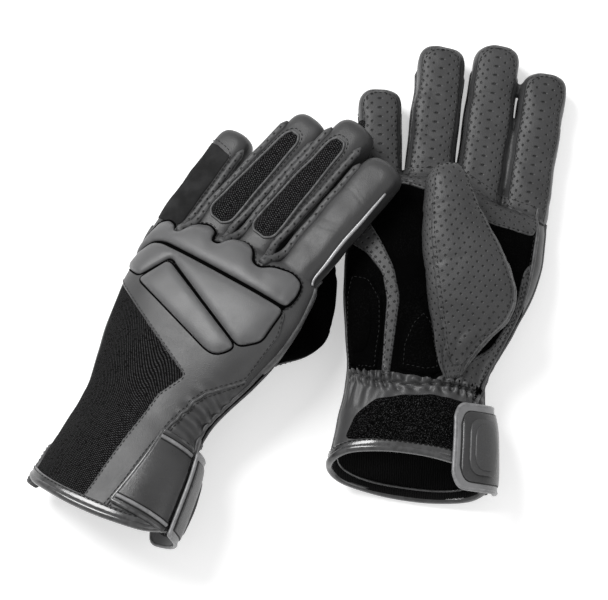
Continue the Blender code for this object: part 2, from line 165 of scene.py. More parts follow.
def hand_point(side, v, degrees, out=0.0):
    """Points of the hand's skin; 0 degrees is the thumb side, 90 the back."""
    centre, level, width, thick = hand_section(side, v)
    x, z = ellipse(np.radians(degrees))
    return np.stack([centre + x * (width + out), v + 0 * x, level + z * (thick + out)], -1)


def hand_angle(side, points):
    """The angle of each point round the hand, in degrees."""
    centre, level, width, thick = hand_section(side, points[:, 1])
    x, z = (points[:, 0] - centre) / width, (points[:, 2] - level) / thick
    return np.degrees(np.arctan2(np.sign(z) * np.abs(z) ** 1.25, np.sign(x) * np.abs(x) ** 1.25))


def mouth(degrees):
    return MOUTH - MOUTH_SLANT * np.sin(np.radians(degrees))


def digit_axis(side, digit):
    """Root of a finger's middle line, its direction, and the direction across it."""
    u, v, lean, _, half_thick, _ = DIGITS[side][digit]
    lean = math.radians(lean)
    level = GLOVES[side]["flush"] * (BACK_LEVEL - half_thick)
    along = np.array([math.sin(lean), math.cos(lean), 0.0])
    across = np.array([math.cos(lean), -math.sin(lean), 0.0])
    return np.array([u, v, level]), along, across


def wide(side, uv):
    """Points (u, v) drawn on the unscaled hand, brought to this glove's width."""
    glove = GLOVES[side]
    uv = np.asarray(uv, float)
    return np.stack([uv[:, 0] * glove["width"] + glove["shift"], uv[:, 1]], 1)


# --- mesh building ------------------------------------------------------------------------------------
def lofted(rings, caps=True, looped=False):
    """Points and faces through a list of equal rings; looped joins the last ring to the first."""
    points = np.concatenate(rings)
    size = len(rings[0])
    faces = []
    for i in range(len(rings) if looped else len(rings) - 1):
        a, b = i * size, (i + 1) % len(rings) * size
        faces += [(a + j, a + (j + 1) % size, b + (j + 1) % size, b + j) for j in range(size)]
    if caps:
        faces.append(tuple(range(size))[::-1])
        faces.append(tuple(range(len(points) - size, len(points))))
    return points, faces


def unit(rows):
    """Each row of a table scaled to length 1."""
    return rows / (np.linalg.norm(rows, axis=1)[:, None] + 1e-9)


def grid_faces(rows, columns):
    return [
        (i * columns + j, i * columns + j + 1, (i + 1) * columns + j + 1, (i + 1) * columns + j)
        for i in range(rows - 1) for j in range(columns - 1)
    ]


def grid_edge(rows, columns):
    """The numbers of a grid's outer points, in order round it."""
    edge = list(range(columns)) + [columns * i - 1 for i in range(2, rows + 1)]
    edge += [columns * (rows - 1) + j for j in range(columns - 2, -1, -1)]
    return edge + [columns * i for i in range(rows - 2, 0, -1)]


def join(parts):
    points, faces, offset = [], [], 0
    for p, f in parts:
        points.append(p)
        faces += [tuple(i + offset for i in face) for face in f]
        offset += len(p)
    return np.concatenate(points), faces


def mesh_object(name, points, faces):
    mesh = bpy.data.meshes.new(name)
    mesh.from_pydata([tuple(p) for p in points], [], faces)
    mesh.update()
    obj = bpy.data.objects.new(name, mesh)
    bpy.context.scene.collection.objects.link(obj)
    return obj


def coords(mesh):
    co = np.empty(len(mesh.vertices) * 3, np.float32)
    mesh.vertices.foreach_get("co", co)
    return co.reshape(-1, 3).astype(float)


def vertex_normals(mesh):
    out = np.empty(len(mesh.vertices) * 3, np.float32)
    mesh.vertex_normals.foreach_get("vector", out)
    return out.reshape(-1, 3).astype(float)


def sheet_normals(points, faces):
    """Vertex normals of a mesh given as points and faces."""
    obj = mesh_object("scratch", points, faces)
    found = vertex_normals(obj.data)
    mesh = obj.data
    bpy.data.objects.remove(obj)
    bpy.data.meshes.remove(mesh)
    return found


def evaluated(obj, *modifiers):
    """The object's mesh after these modifiers, as (points, faces); the object is removed."""
    for kind, settings in modifiers:
        modifier = obj.modifiers.new(kind.lower(), kind)
        for key, value in settings.items():
            setattr(modifier, key, value)
    graph = bpy.context.evaluated_depsgraph_get()
    graph.update()
    mesh = bpy.data.meshes.new_from_object(obj.evaluated_get(graph))
    points, faces = coords(mesh), [tuple(p.vertices) for p in mesh.polygons]
    bpy.data.objects.remove(obj)
    bpy.data.meshes.remove(mesh)
    return points, faces


def distance_to(points, line, closed=True):
    """Distance of 2-D points from a polyline."""
    a = np.asarray(line, float)
    b = np.roll(a, -1, 0) if closed else a[1:]
    a = a if closed else a[:-1]
    d = b - a
    rel = points[:, None] - a[None]
    t = np.clip((rel * d).sum(-1) / np.maximum((d * d).sum(-1), 1e-9), 0, 1)
    return np.sqrt(((rel - t[..., None] * d) ** 2).sum(-1)).min(1)


def inside(points, outline):
    a = np.asarray(outline, float)
    b = np.roll(a, -1, 0)
    x, y = points[:, :1], points[:, 1:2]
    crosses = (a[:, 1] > y) != (b[:, 1] > y)
    at = a[:, 0] + (y - a[:, 1]) * (b[:, 0] - a[:, 0]) / np.where(b[:, 1] == a[:, 1], 1e-9, b[:, 1] - a[:, 1])
    return (crosses & (x < at)).sum(1) % 2 == 1


def even(line, step, closed=True):
    """A polyline resampled at about this step; corners are kept."""
    line = np.asarray(line, float)
    ends = np.roll(line, -1, 0) if closed else line[1:]
    out = []
    for a, b in zip(line, ends):
        count = max(1, round(np.linalg.norm(b - a) / step))
        out += [a + (b - a) * k / count for k in range(count)]
    return np.array(out if closed else out + [line[-1]])


def rounded(line, radius=3.0, closed=True):
    """The line with its corners rounded off, each over no more than this radius along its two sides."""
    line = np.asarray(line, float)
    out = [] if closed else [line[0]]
    for i in range(len(line)) if closed else range(1, len(line) - 1):
        before, corner, after = line[i - 1], line[i], line[(i + 1) % len(line)]
        reach = min(radius, 0.45 * np.linalg.norm(before - corner), 0.45 * np.linalg.norm(after - corner))
        start = corner + (before - corner) * reach / max(np.linalg.norm(before - corner), 1e-6)
        end = corner + (after - corner) * reach / max(np.linalg.norm(after - corner), 1e-6)
        out += [start * (1 - t) ** 2 + corner * 2 * t * (1 - t) + end * t * t for t in (0, 0.25, 0.5, 0.75, 1)]
    return np.array(out if closed else out + [line[-1]])


# --- the sewn skin ------------------------------------------------------------------------------------
def hand_tube(side):
    """The closed tube of cuff and hand, a little past the mouth and rounded off at the knuckles."""
    x, z = ellipse(np.linspace(0, math.tau, 97)[:-1])
    webs = np.array(WEBS[side], float)
    rings = []
    for v in np.concatenate([np.arange(-76, PALM_END, 3.0), np.arange(PALM_END, HAND_END + 0.1, 1.5)]):
        centre, level, width, thick = hand_section(side, v)
        over = max(0.0, (v - ROUND_FROM) / (HAND_END - ROUND_FROM))
        k = math.sqrt(max(0.02, 1 - over * over))
        u = centre + x * width * (0.9 + 0.1 * k)
        edge = np.interp(u, webs[:, 0], webs[:, 1])
        slanted = PALM_END + (v - PALM_END) * (edge - PALM_END) / (HAND_END - PALM_END)
        rings.append(np.stack([u, np.where(v > PALM_END, slanted, v), level + z * thick * k], -1))
    return lofted(rings)


FINGER_SHAPE = np.array([   # share of the length, width, thickness, how far the middle line droops
    (-0.35, 0.84, 0.86, 0.0), (-0.12, 0.97, 1.0, 0.0), (0.1, 1.02, 1.02, 0.0), (0.3, 0.99, 1.0, 0.0),
    (0.45, 1.03, 1.0, 0.2), (0.62, 1.0, 0.98, 0.5), (0.8, 1.02, 0.96, 0.8), (1.0, 0.97, 0.92, 1.3),
])


def finger_section(side, digit, y):
    """Centre, half width and half thickness of a finger at its station y."""
    _, _, _, half_width, half_thick, length = DIGITS[side][digit]
    tip = 0.8 * half_width
    root, along, _ = digit_axis(side, digit)
    w, t, droop = (cubic(y / length, FINGER_SHAPE[:, 0], FINGER_SHAPE[:, k]) for k in (1, 2, 3))
    over = np.clip((y - (length - tip)) / tip, 0, 1)
    k = np.maximum(1 - over**2.7, 0) ** (1 / 2.7)
    centre = root + np.multiply.outer(y, along) - np.multiply.outer(droop, (0.0, 0.0, 1.0))
    return centre, half_width * w * k, half_thick * t * (0.15 + 0.85 * k)


def finger_point(side, digit, y, degrees, out=0.0):
    """Points of a finger's skin; 0 degrees is the thumb side, 90 the back."""
    centre, width, thick = finger_section(side, digit, y)
    x, z = ellipse(np.radians(degrees), 3.0)
    _, _, across = digit_axis(side, digit)
    return (centre + np.multiply.outer(x * (width + out), across)
            + np.multiply.outer(z * (thick + out), (0.0, 0.0, 1.0)))


def finger_tube(side, digit):
    length, half_width = DIGITS[side][digit][5], DIGITS[side][digit][3]
    tip = 0.8 * half_width
    rounding = length - tip * (1 - np.linspace(0, 0.995, 12))
    stations = np.concatenate([np.arange(-24, length - tip, 2.5), rounding])
    angle = np.linspace(0, 360, 49)[:-1]
    return lofted([finger_point(side, digit, y + 0 * angle, angle) for y in stations])


def finger_frame(side, digit, points):
    """Station y, sideways x and height z of points in a finger's own frame."""
    root, along, across = digit_axis(side, digit)
    rel = points - root
    return rel @ along, rel @ across, rel[:, 2]


def nearest_digit(side, points):
    """For each point the finger it belongs to: its number in DIGITS, or -1 on the hand."""
    webs = np.array(WEBS[side], float)
    best = np.full(len(points), 1e9)
    owner = np.full(len(points), -1)
    for k, digit in enumerate(DIGITS[side]):
        y, x, _ = finger_frame(side, digit, points)
        gap = np.abs(x)
        mine = (gap < best) & (y > -20)
        best[mine] = gap[mine]
        owner[mine] = k
    beyond = points[:, 1] > np.interp(points[:, 0], webs[:, 0], webs[:, 1]) - 2.0
    return np.where(beyond, owner, -1)


def fabric_motion(side, points, faces):
    """How far a cloth simulation moves each point: a coarse copy of the skin swells and settles in folds."""
    voxel, cap = 5.0, 0.55
    coarse, quads = evaluated(
        mesh_object("coarse", to_world(side, points), faces),
        ("REMESH", {"mode": "VOXEL", "voxel_size": voxel * MM}),
    )
    obj = mesh_object("cloth", coarse, quads)
    local = from_world(side, coarse)
    held = obj.vertex_groups.new(name="held")
    seam = distance_to(local[:, :2], [(w[0], w[1]) for w in WEBS[side]], closed=False) < 7
    seam |= local[:, 1] < MOUTH + 12
    held.add([int(i) for i in np.nonzero(seam)[0]], 1.0, "REPLACE")
    cloth = obj.modifiers.new("cloth", "CLOTH").settings
    cloth.quality = 4
    cloth.mass = 0.15
    cloth.tension_stiffness = cloth.compression_stiffness = 12
    cloth.bending_stiffness = 0.4
    cloth.shrink_min = -0.015
    cloth.use_pressure = True
    cloth.uniform_pressure_force = 1.5
    cloth.vertex_group_mass = "held"
    cloth.effector_weights.gravity = 0
    scene = bpy.context.scene
    for number in range(1, 21):
        scene.frame_set(number)
    graph = bpy.context.evaluated_depsgraph_get()
    settled = bpy.data.meshes.new_from_object(obj.evaluated_get(graph))
    motion = from_world(side, coords(settled)) - local
    bpy.data.objects.remove(obj)
    bpy.data.meshes.remove(settled)
    scene.frame_set(1)
    motion -= np.median(motion, 0)
    motion *= np.minimum(1, cap / np.maximum(np.linalg.norm(motion, axis=1), 1e-6))[:, None]
    tree = KDTree(len(local))
    for i, p in enumerate(local):
        tree.insert(p, i)
    tree.balance()
    moved = np.zeros_like(points)
    for i, p in enumerate(points):
        near = tree.find_n(p, 9)
        weights = np.array([1 / (d + 3.0) ** 2 for _, _, d in near])
        moved[i] = weights @ motion[[k for _, k, _ in near]] / weights.sum()
    return moved


def waves(points, scale, seed):
    """Smooth noise between about -1 and 1 at this scale in millimetres."""
    offset = Vector((seed * 17.3, seed * 5.1, seed * 9.7))
    return np.array([noise.noise(Vector(p) / scale + offset) for p in points]) * 1.6


def relief(side, points):
    """How far gathers, folds and creases stand off the smooth skin, in millimetres."""
    u, v = points[:, 0], points[:, 1]
    degrees = hand_angle(side, points)
    _, level, width, _ = hand_section(side, v)
    arc = np.radians(degrees) * width
    palm = smooth((-degrees - 6) / 22) * smooth((174 + degrees) / 22)
    wobble = waves(points * np.array([1, 0.4, 1]), 16.0, 1)
    line = -11 + 1.6 * np.sin(arc / 9) + 1.5 * wobble          # the gathered seam at the palm side of the wrist
    off = v - line
    out = palm * 1.7 * np.cos(math.tau * (arc + 1.6 * wobble) / 5.6) * np.exp(-((off - 2.4) / 2.9) ** 2)
    out += palm * 1.1 * np.cos(math.tau * (arc + 1.8 * wobble) / 6.4 + 1) * np.exp(-((off + 2.6) / 2.0) ** 2)
    out += palm * (1.2 * np.exp(-((off - 2.4) / 3.0) ** 2) - 1.6 * np.exp(-(off / 0.9) ** 2))
    fan = np.clip((line - 3 - v) / 16, 0, 1)
    pleats = np.cos(math.tau * (arc + 10 * fan + 0.8 * wobble) / 10.5)
    out += palm * 1.1 * pleats * fan ** 0.3 * (1 - fan) ** 0.8
    rise = np.clip((v - line - 5) / 26, 0, 1)
    pleats = np.cos(math.tau * (arc * (1 - 0.2 * rise) + 1.2 * wobble) / 10.5)
    out += palm * pleats * rise ** 0.4 * (1 - rise) ** 1.2
    gusset = smooth((60 - degrees) / 14) * smooth((degrees + 2) / 10)
    near_wrist = np.exp(-((v - 2) / 15) ** 2)
    tilt = v + 0.55 * (u - 30) + 3 * wobble
    out += gusset * near_wrist * 1.15 * np.sin(math.tau * tilt / 8.5)
    out += 0.32 * waves(points, 15.0, 2) * smooth((v + 52) / 20)
    owner = nearest_digit(side, points)
    dorsal = GLOVES[side]["dorsal"] > 0
    for k, digit in enumerate(DIGITS[side]):
        mine = owner == k
        y, x, z = finger_frame(side, digit, points[mine])
        length, half_width = DIGITS[side][digit][5], DIGITS[side][digit][3]
        bend = np.zeros(len(y))
        across = np.clip(np.abs(x) / half_width, 0, 1)
        for share, size in ((0.30, 1.0), (0.36, 0.6), (0.62, 0.9), (0.67, 0.5)):
            at = share * length + 1.6 * np.sin(x / 4 + k + share * 9) + 1.2 * across**2
            bend -= size * (0.15 if dorsal else 0.5) * np.exp(-((y - at) / 1.1) ** 2) * (1 - 0.7 * across**3)
        bend += (0.1 if dorsal else 0.28) * waves(points[mine] * np.array([1, 0.7, 1]), 6.5, 5 + k)
        out[mine] += bend
    return out


def sewn_skin(side):
    """One closed skin for cuff, hand and fingers, with its folds: points and quads."""
    parts = [hand_tube(side)] + [finger_tube(side, digit) for digit in DIGITS[side]]
    obj = mesh_object(f"{side}_draft", *join(parts))
    bm = bmesh.new()
    bm.from_mesh(obj.data)
    bmesh.ops.recalc_face_normals(bm, faces=bm.faces)
    bm.to_mesh(obj.data)
    bm.free()
    points, faces = evaluated(
        obj,
        ("REMESH", {"mode": "VOXEL", "voxel_size": FINE}),
        ("SMOOTH", {"factor": 0.5, "iterations": 7}),
    )
    points = points + fabric_motion(side, points, faces)
    points, faces = evaluated(
        mesh_object("skin", points, faces), ("SUBSURF", {"levels": 1, "render_levels": 1})
    )
    outward = sheet_normals(points, faces)
    return points + outward * relief(side, points)[:, None], faces


class Skin:
    """The finished skin of one glove, and ways to find places on it."""

    def __init__(self, side):
        self.side = side
        self.points, self.faces = sewn_skin(side)
        self.normals = sheet_normals(self.points, self.faces)
        self.tree = BVHTree.FromPolygons([tuple(p) for p in self.points], self.faces)
        self.corners = np.array(self.faces)

    def normal_at(self, place, index):
        corners = self.corners[index]
        weight = 1 / (np.linalg.norm(self.points[corners] - np.array(place), axis=1) + 0.05)
        normal = weight @ self.normals[corners]
        return normal / np.linalg.norm(normal)

    def closest(self, targets):
        places, outward = [], []
        for target in targets:
            place, _, index, _ = self.tree.find_nearest(Vector(target))
            places.append(place)
            outward.append(self.normal_at(place, index))
        return np.array(places), np.array(outward)

    def on_hand(self, uv, face):
        """Places on the back (face 1) or palm (face -1) at (u, v); past the flat part they wrap down the side."""
        uv = np.asarray(uv, float)
        centre, level, width, thick = hand_section(self.side, uv[:, 1])
        off = uv[:, 0] - centre
        flat = 0.86 * width
        places, outward = np.empty((len(uv), 3)), np.empty((len(uv), 3))
        over = np.abs(off) > flat
        for i in range(len(uv)):
            if not over[i]:
                start = Vector((uv[i, 0], uv[i, 1], level[i] + face * 60))
                place, _, index, _ = self.tree.ray_cast(start, Vector((0, 0, -face)))
                if place is None:
                    over[i] = True
                else:
                    places[i], outward[i] = place, self.normal_at(place, index)
        if over.any():
            start = math.acos(0.86**1.25)
            turn = np.linspace(start, -start, 60)
            x, z = ellipse(turn)
            w, t = width[over, None], thick[over, None]
            side_u, side_n = x[None] * w, z[None] * t
            steps = np.hypot(np.diff(side_u, axis=1), np.diff(side_n, axis=1))
            run = np.concatenate([np.zeros((len(w), 1)), np.cumsum(steps, 1)], 1)
            want = np.abs(off[over]) - flat[over]
            sign = np.sign(off[over])
            target = np.empty((len(w), 3))
            for row in range(len(w)):
                target[row, 0] = centre[over][row] + sign[row] * np.interp(want[row], run[row], side_u[row])
                target[row, 1] = uv[over][row, 1]
                target[row, 2] = level[over][row] + face * np.interp(want[row], run[row], side_n[row])
            places[over], outward[over] = self.closest(target)
        return places, outward

    def on_finger(self, digit, y, degrees):
        """Places on a finger at station y and angle, found from its middle line outwards."""
        centre, width, _ = finger_section(self.side, digit, y)
        target = finger_point(self.side, digit, y, degrees)
        places, outward = [], []
        for c, p, w in zip(centre, target, width):
            ray = Vector(p - c)
            reach = ray.length
            place, _, index, gap = self.tree.ray_cast(Vector(c), ray.normalized())
            if place is None or gap > reach + 3.5:
                place, _, index, _ = self.tree.find_nearest(Vector(p))
            places.append(place)
            outward.append(self.normal_at(place, index))
        return np.array(places), np.array(outward)


# --- materials ----------------------------------------------------------------------------------------
BUMP_DEPTH = 0.0003     # metres that a height of 1 stands for


class Shader:
    """A Principled material and short ways to add nodes to it."""

    def __init__(self, name):
        self.material = bpy.data.materials.new(name)
        self.material.use_nodes = True
        self.tree = self.material.node_tree
        self.bsdf = self.tree.nodes["Principled BSDF"]
        self.place = self.add("ShaderNodeTexCoord")["Object"]
        self.geometry = self.add("ShaderNodeNewGeometry")
        self.height = None

    def add(self, kind, links=(), **settings):
        node = self.tree.nodes.new(kind)
        for key, value in settings.items():
            setattr(node, key, value)
        for key, value in dict(links).items():
            self.put(node.inputs[key], value)
        return node.outputs

    def put(self, socket, value):
        if isinstance(value, bpy.types.NodeSocket):
            self.tree.links.new(value, socket)
        else:
            socket.default_value = value

    def math(self, operation, a, b=0.0, c=0.0):
        return self.add("ShaderNodeMath", {0: a, 1: b, 2: c}, operation=operation)[0]

    def noise(self, millimetres, detail=2.0, vector=None):
        links = {"Vector": vector or self.place, "Scale": 1000 / millimetres, "Detail": detail}
        return self.add("ShaderNodeTexNoise", links)[0]

    def cells(self, millimetres, feature="F1"):
        links = {"Vector": self.place, "Scale": 1000 / millimetres}
        return self.add("ShaderNodeTexVoronoi", links, feature=feature)[0]

    def ramp(self, value, low, high, to_low=0.0, to_high=1.0, kind="SMOOTHSTEP"):
        links = {"Value": value, "From Min": low, "From Max": high, "To Min": to_low, "To Max": to_high}
        return self.add("ShaderNodeMapRange", links, interpolation_type=kind)[0]

    def mix(self, share, a, b):
        out = self.add("ShaderNodeMix", {0: share, 6: a, 7: b}, data_type="RGBA")
        return out[2]

    def raise_by(self, value, amount):
        part = self.math("MULTIPLY", value, amount)
        self.height = part if self.height is None else self.math("ADD", self.height, part)

    def set(self, **inputs):
        for key, value in inputs.items():
            self.put(self.bsdf.inputs[key.replace("_", " ")], value)

    def done(self):
        if self.height is not None:
            links = {"Strength": 1.0, "Distance": BUMP_DEPTH, "Height": self.height}
            bump = self.add("ShaderNodeBump", links)
            self.put(self.bsdf.inputs["Normal"], bump[0])
        return self.material


def grey(value, tint=1.02):
    return (value, value, value * tint, 1.0)


def add_leather(shader, dark, light, rough, grain, worn):
    """Grained leather: fine cells, soft wrinkles, patchy colour, lighter worn ridges, and painted shade that
    darkens the hollows of the creases.
    """
    shader.raise_by(shader.cells(0.9, "DISTANCE_TO_EDGE"), grain)
    shader.raise_by(shader.noise(0.45, 3), 0.35 * grain)
    shader.raise_by(shader.noise(7.0, 4), 0.25)
    patches = shader.noise(22.0, 5)
    colour = shader.mix(shader.ramp(patches, 0.3, 0.7), grey(dark), grey(light))
    ridge = shader.ramp(shader.geometry["Pointiness"], 0.505, 0.56)
    scuffs = shader.math("MULTIPLY", ridge, shader.ramp(shader.noise(3.0, 4), 0.35, 0.65))
    colour = shader.mix(scuffs, colour, grey(light + worn))
    # painted shade: where the skin curves inwards the colour is multiplied down to 0.45, standing for the shade
    # in creases
    crease_shade = shader.ramp(shader.geometry["Pointiness"], 0.44, 0.495, 0.45, 1.0)
    shade = shader.add("ShaderNodeCombineColor", {0: crease_shade, 1: crease_shade, 2: crease_shade})[0]
    links = {0: 1.0, 6: colour, 7: shade}
    colour = shader.add("ShaderNodeMix", links, data_type="RGBA", blend_type="MULTIPLY")[2]
    gloss = shader.ramp(shader.noise(9.0, 4), 0.3, 0.7, rough - 0.02, rough + 0.03)
    shader.set(Base_Color=colour, Roughness=gloss, Specular_IOR_Level=0.42)
    return colour


def add_holes(shader, colour, pitch=5.5, radius=0.42):
    """Punched holes on a staggered grid, from the piece's own pattern coordinates in millimetres."""
    pattern = shader.add("ShaderNodeAttribute", attribute_name="pattern")["Vector"]
    nearest = None
    for shift in (0.0, 0.5):
        cell = shader.add("ShaderNodeVectorMath", {0: pattern, 1: (1 / pitch,) * 3}, operation="MULTIPLY")[0]
        cell = shader.add("ShaderNodeVectorMath", {0: cell, 1: (shift, shift, 0.5)}, operation="ADD")[0]
        cell = shader.add("ShaderNodeVectorMath", {0: cell}, operation="FRACTION")[0]
        far = shader.add("ShaderNodeVectorMath", {0: cell, 1: (0.5, 0.5, 0.5)}, operation="DISTANCE")[1]
        nearest = far if nearest is None else shader.math("MINIMUM", nearest, far)
    hole = shader.ramp(nearest, 0.7 * radius / pitch, 1.25 * radius / pitch, 1.0, 0.0)
    rim = shader.ramp(nearest, 1.1 * radius / pitch, 2.2 * radius / pitch, 1.0, 0.0)
    shader.raise_by(hole, -4.0)
    shader.raise_by(rim, -0.8)
    shader.set(Base_Color=shader.mix(hole, colour, grey(0.002)))


# dark, light, roughness, grain, how much lighter the worn ridges are
LEATHERS = {
    "leather": (0.038, 0.045, 0.42, 0.35, 0.035),
    # painted shade: a darker copy of the plain leather, for the backs of the left glove's fingers
    "shaded_finger_leather": (0.029, 0.036, 0.44, 0.35, 0.035),
    "pad_leather": (0.080, 0.089, 0.42, 0.22, 0.035),
    "tab_leather": (0.026, 0.040, 0.27, 0.25, 0.035),
    "perforated_leather": (0.032, 0.042, 0.48, 0.35, 0.035),
    "binding_leather": (0.024, 0.036, 0.17, 0.12, 0.03),
    "light_edge": (0.13, 0.19, 0.28, 0.15, 0.035),
}


def mesh_fabric(shader):
    """Spacer mesh: a lattice of pale yarn loops over a near-black ground."""
    pattern = shader.add("ShaderNodeAttribute", attribute_name="pattern")["Vector"]
    split = shader.add("ShaderNodeSeparateXYZ", {0: pattern})
    jitter = shader.math("MULTIPLY", shader.noise(1.6, 2), 2.2)
    across = shader.math("SINE", shader.math("ADD", shader.math("MULTIPLY", split[0], math.tau / 1.5), jitter))
    along = shader.math("SINE", shader.math("ADD", shader.math("MULTIPLY", split[1], math.tau / 1.25), jitter))
    loops = shader.math("MULTIPLY", across, along)
    yarn = shader.ramp(loops, 0.1, 0.75)
    sparse = shader.math("MULTIPLY", yarn, shader.ramp(shader.noise(1.1, 3), 0.3, 0.5))
    shader.set(Base_Color=shader.mix(sparse, grey(0.002), grey(0.075)), Roughness=0.8)
    shader.set(Specular_IOR_Level=0.05)
    shader.raise_by(loops, 1.2)


def suede(shader):
    nap = shader.ramp(shader.noise(0.7, 4), 0.45, 0.75)
    brushed = shader.ramp(shader.noise(14.0, 4), 0.35, 0.7)
    colour = shader.mix(nap, grey(0.0008), grey(0.004))
    shader.set(Base_Color=shader.mix(brushed, colour, grey(0.0008)), Roughness=0.95, Specular_IOR_Level=0.02)
    shader.raise_by(shader.noise(0.7, 4), 1.0)
    shader.raise_by(shader.noise(6.0, 3), 0.8)


def loop_fabric(shader):
    fuzz = shader.noise(0.55, 5)
    colour = shader.mix(shader.ramp(fuzz, 0.52, 0.72), grey(0.001), grey(0.065))
    shader.set(Base_Color=colour, Roughness=1.0, Specular_IOR_Level=0.03)
    shader.raise_by(fuzz, 5.0)


def hook_tape(shader):
    hooks = shader.cells(0.9)
    shader.set(Base_Color=shader.mix(shader.ramp(hooks, 0.1, 0.5), grey(0.03), grey(0.006)), Roughness=0.5)
    shader.raise_by(hooks, -3.0)


def badge_rubber(shader):
    speck = shader.noise(0.5, 3)
    shader.set(Base_Color=shader.mix(shader.ramp(speck, 0.3, 0.8), grey(0.035), grey(0.055)), Roughness=0.4)
    shader.raise_by(speck, 0.3)


def groove_shade(shader):
    """Painted shade: a near-black, matt finish for the cords laid in the channels sewn between the pads, where
    shade falls.
    """
    shader.set(Base_Color=grey(0.0012), Roughness=0.95, Specular_IOR_Level=0.02)


def stretch_knit(shader):
    """The smooth knitted panel on the little finger: dark grey and matt."""
    knit = shader.noise(0.5, 3)
    worn = shader.ramp(shader.noise(11.0, 4), 0.35, 0.7)
    shader.set(Base_Color=shader.mix(worn, grey(0.012), grey(0.024)), Roughness=0.85, Specular_IOR_Level=0.1)
    shader.raise_by(knit, 0.8)


def lining(shader):
    knit = shader.add("ShaderNodeTexWave", {"Vector": shader.place, "Scale": 320.0, "Distortion": 3.0})[0]
    colour = shader.mix(shader.ramp(knit, 0.3, 0.8), grey(0.003), grey(0.012))
    shader.set(Base_Color=colour, Roughness=0.95, Specular_IOR_Level=0.1)
    shader.raise_by(knit, 0.8)


def reflective_piping(shader):
    glint = shader.noise(0.8, 3)
    shader.set(Base_Color=grey(0.34), Roughness=shader.ramp(glint, 0.3, 0.7, 0.2, 0.4), Metallic=0.35)
    shader.raise_by(glint, 0.2)


def thread(shader):
    twist = shader.noise(0.3, 2)
    shader.set(Base_Color=shader.mix(twist, grey(0.004), grey(0.016)), Roughness=0.55, Specular_IOR_Level=0.25)
    shader.raise_by(twist, 0.5)


FABRICS = {
    make.__name__: make
    for make in (mesh_fabric, suede, loop_fabric, hook_tape, badge_rubber, groove_shade, stretch_knit, lining,
                 reflective_piping, thread)
}
FINISHES = {}           # the materials made so far


def finished(name):
    """The material of this name, made the first time it is asked for."""
    if name not in FINISHES:
        shader = Shader(name)
        if name in LEATHERS:
            colour = add_leather(shader, *LEATHERS[name])
            if name == "perforated_leather":
                add_holes(shader, colour)
            if name == "binding_leather":
                shader.set(Specular_IOR_Level=0.75)
        else:
            FABRICS[name](shader)
        FINISHES[name] = shader.done()
    return FINISHES[name]


def add_piece(side, name, points, faces, finish, body="hand", stands_for=(), pattern=None, closed=True):
    """A piece of a glove from points in its own frame; body is hand, strap, thumb or a finger."""
    mirrored = GLOVES[side]["dorsal"] < 0
    obj = mesh_object(f"{side}_{name}", to_world(side, points), [f[::-1] for f in faces] if mirrored else faces)
    if closed:
        bm = bmesh.new()
        bm.from_mesh(obj.data)
        bmesh.ops.recalc_face_normals(bm, faces=bm.faces)
        bm.to_mesh(obj.data)
        bm.free()
    obj.data.shade_smooth()
    if pattern is not None:
        flat = np.zeros((len(points), 3), np.float32)
        flat[:, :2] = pattern
        obj.data.attributes.new("pattern", "FLOAT_VECTOR", "POINT").data.foreach_set("vector", flat.ravel())
    obj.data.materials.append(finished(finish))
    if body in DIGITS[side]:
        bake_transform(obj)
    elif body == "strap_fold":
        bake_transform(obj)
    else:
        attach(obj, f"{side}_{body}")
    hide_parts(*[f"{side}_{node}" for node in stands_for])
    return obj


def border(faces):
    """Directed edges that only one face uses."""
    edges = {(f[i], f[(i + 1) % len(f)]) for f in faces for i in range(len(f))}
    return [(a, b) for a, b in edges if (b, a) not in edges]


def shell(top, bottom, faces):
    """A closed body from the two faces of a sheet."""
    count = len(top)
    sides = [(b, a, count + a, count + b) for a, b in border(faces)]
    return np.concatenate([top, bottom]), faces + [tuple(count + i for i in f[::-1]) for f in faces] + sides


def quilted(base, outward, faces, height, sink=0.9):
    """A closed padded sheet: the top stands height off the base, the underside sinks below it."""
    return shell(base + outward * height[:, None], base - outward * sink, faces)


def cut_sheet(outline, step=1.5, rows=(0.25, 0.7, 1.5)):
    """Triangles that fill an outline, with rows of points close to its edge: points, faces, edge distance."""
    edge = even(outline, step)
    area = np.sum(edge[:, 0] * np.roll(edge[:, 1], -1) - np.roll(edge[:, 0], -1) * edge[:, 1])
    if area < 0:
        edge = edge[::-1]
    ahead = np.roll(edge, -1, 0) - np.roll(edge, 1, 0)
    ahead /= np.linalg.norm(ahead, axis=1)[:, None]
    inward = np.stack([-ahead[:, 1], ahead[:, 0]], 1)
    points = [edge]
    for row in rows:
        ring = edge + inward * row
        points.append(ring[inside(ring, edge) & (distance_to(ring, edge) > 0.8 * row)])
    low, high = edge.min(0), edge.max(0)
    grid = [
        (x + (step / 2 if k % 2 else 0), y)
        for k, y in enumerate(np.arange(low[1], high[1], step * 0.87))
        for x in np.arange(low[0], high[0], step)
    ]
    grid = np.array(grid)
    grid = grid[inside(grid, edge)]
    points.append(grid[distance_to(grid, edge) > rows[-1] + 0.45 * step])
    points = np.concatenate(points)
    loop = [(i, (i + 1) % len(edge)) for i in range(len(edge))]
    made, _, faces, *_ = delaunay_2d_cdt([Vector(p) for p in points], loop, [list(range(len(edge)))], 1, 1e-4)
    made = np.array([tuple(p) for p in made])
    return made, [tuple(f) for f in faces], distance_to(made, edge)


def rolled(depth, radius, height):
    """Height of a sheet with a rolled edge, at a depth in from its edge."""
    t = np.clip(depth / radius, 0, 1)
    return height * np.sqrt(1 - (1 - t) ** 2)


def foam(depth, puff, spread):
    """How far foam lifts a panel at a depth in from its edge: most of it within the first millimetres."""
    return puff * (1 - np.exp(-((depth / spread) ** 1.3)))


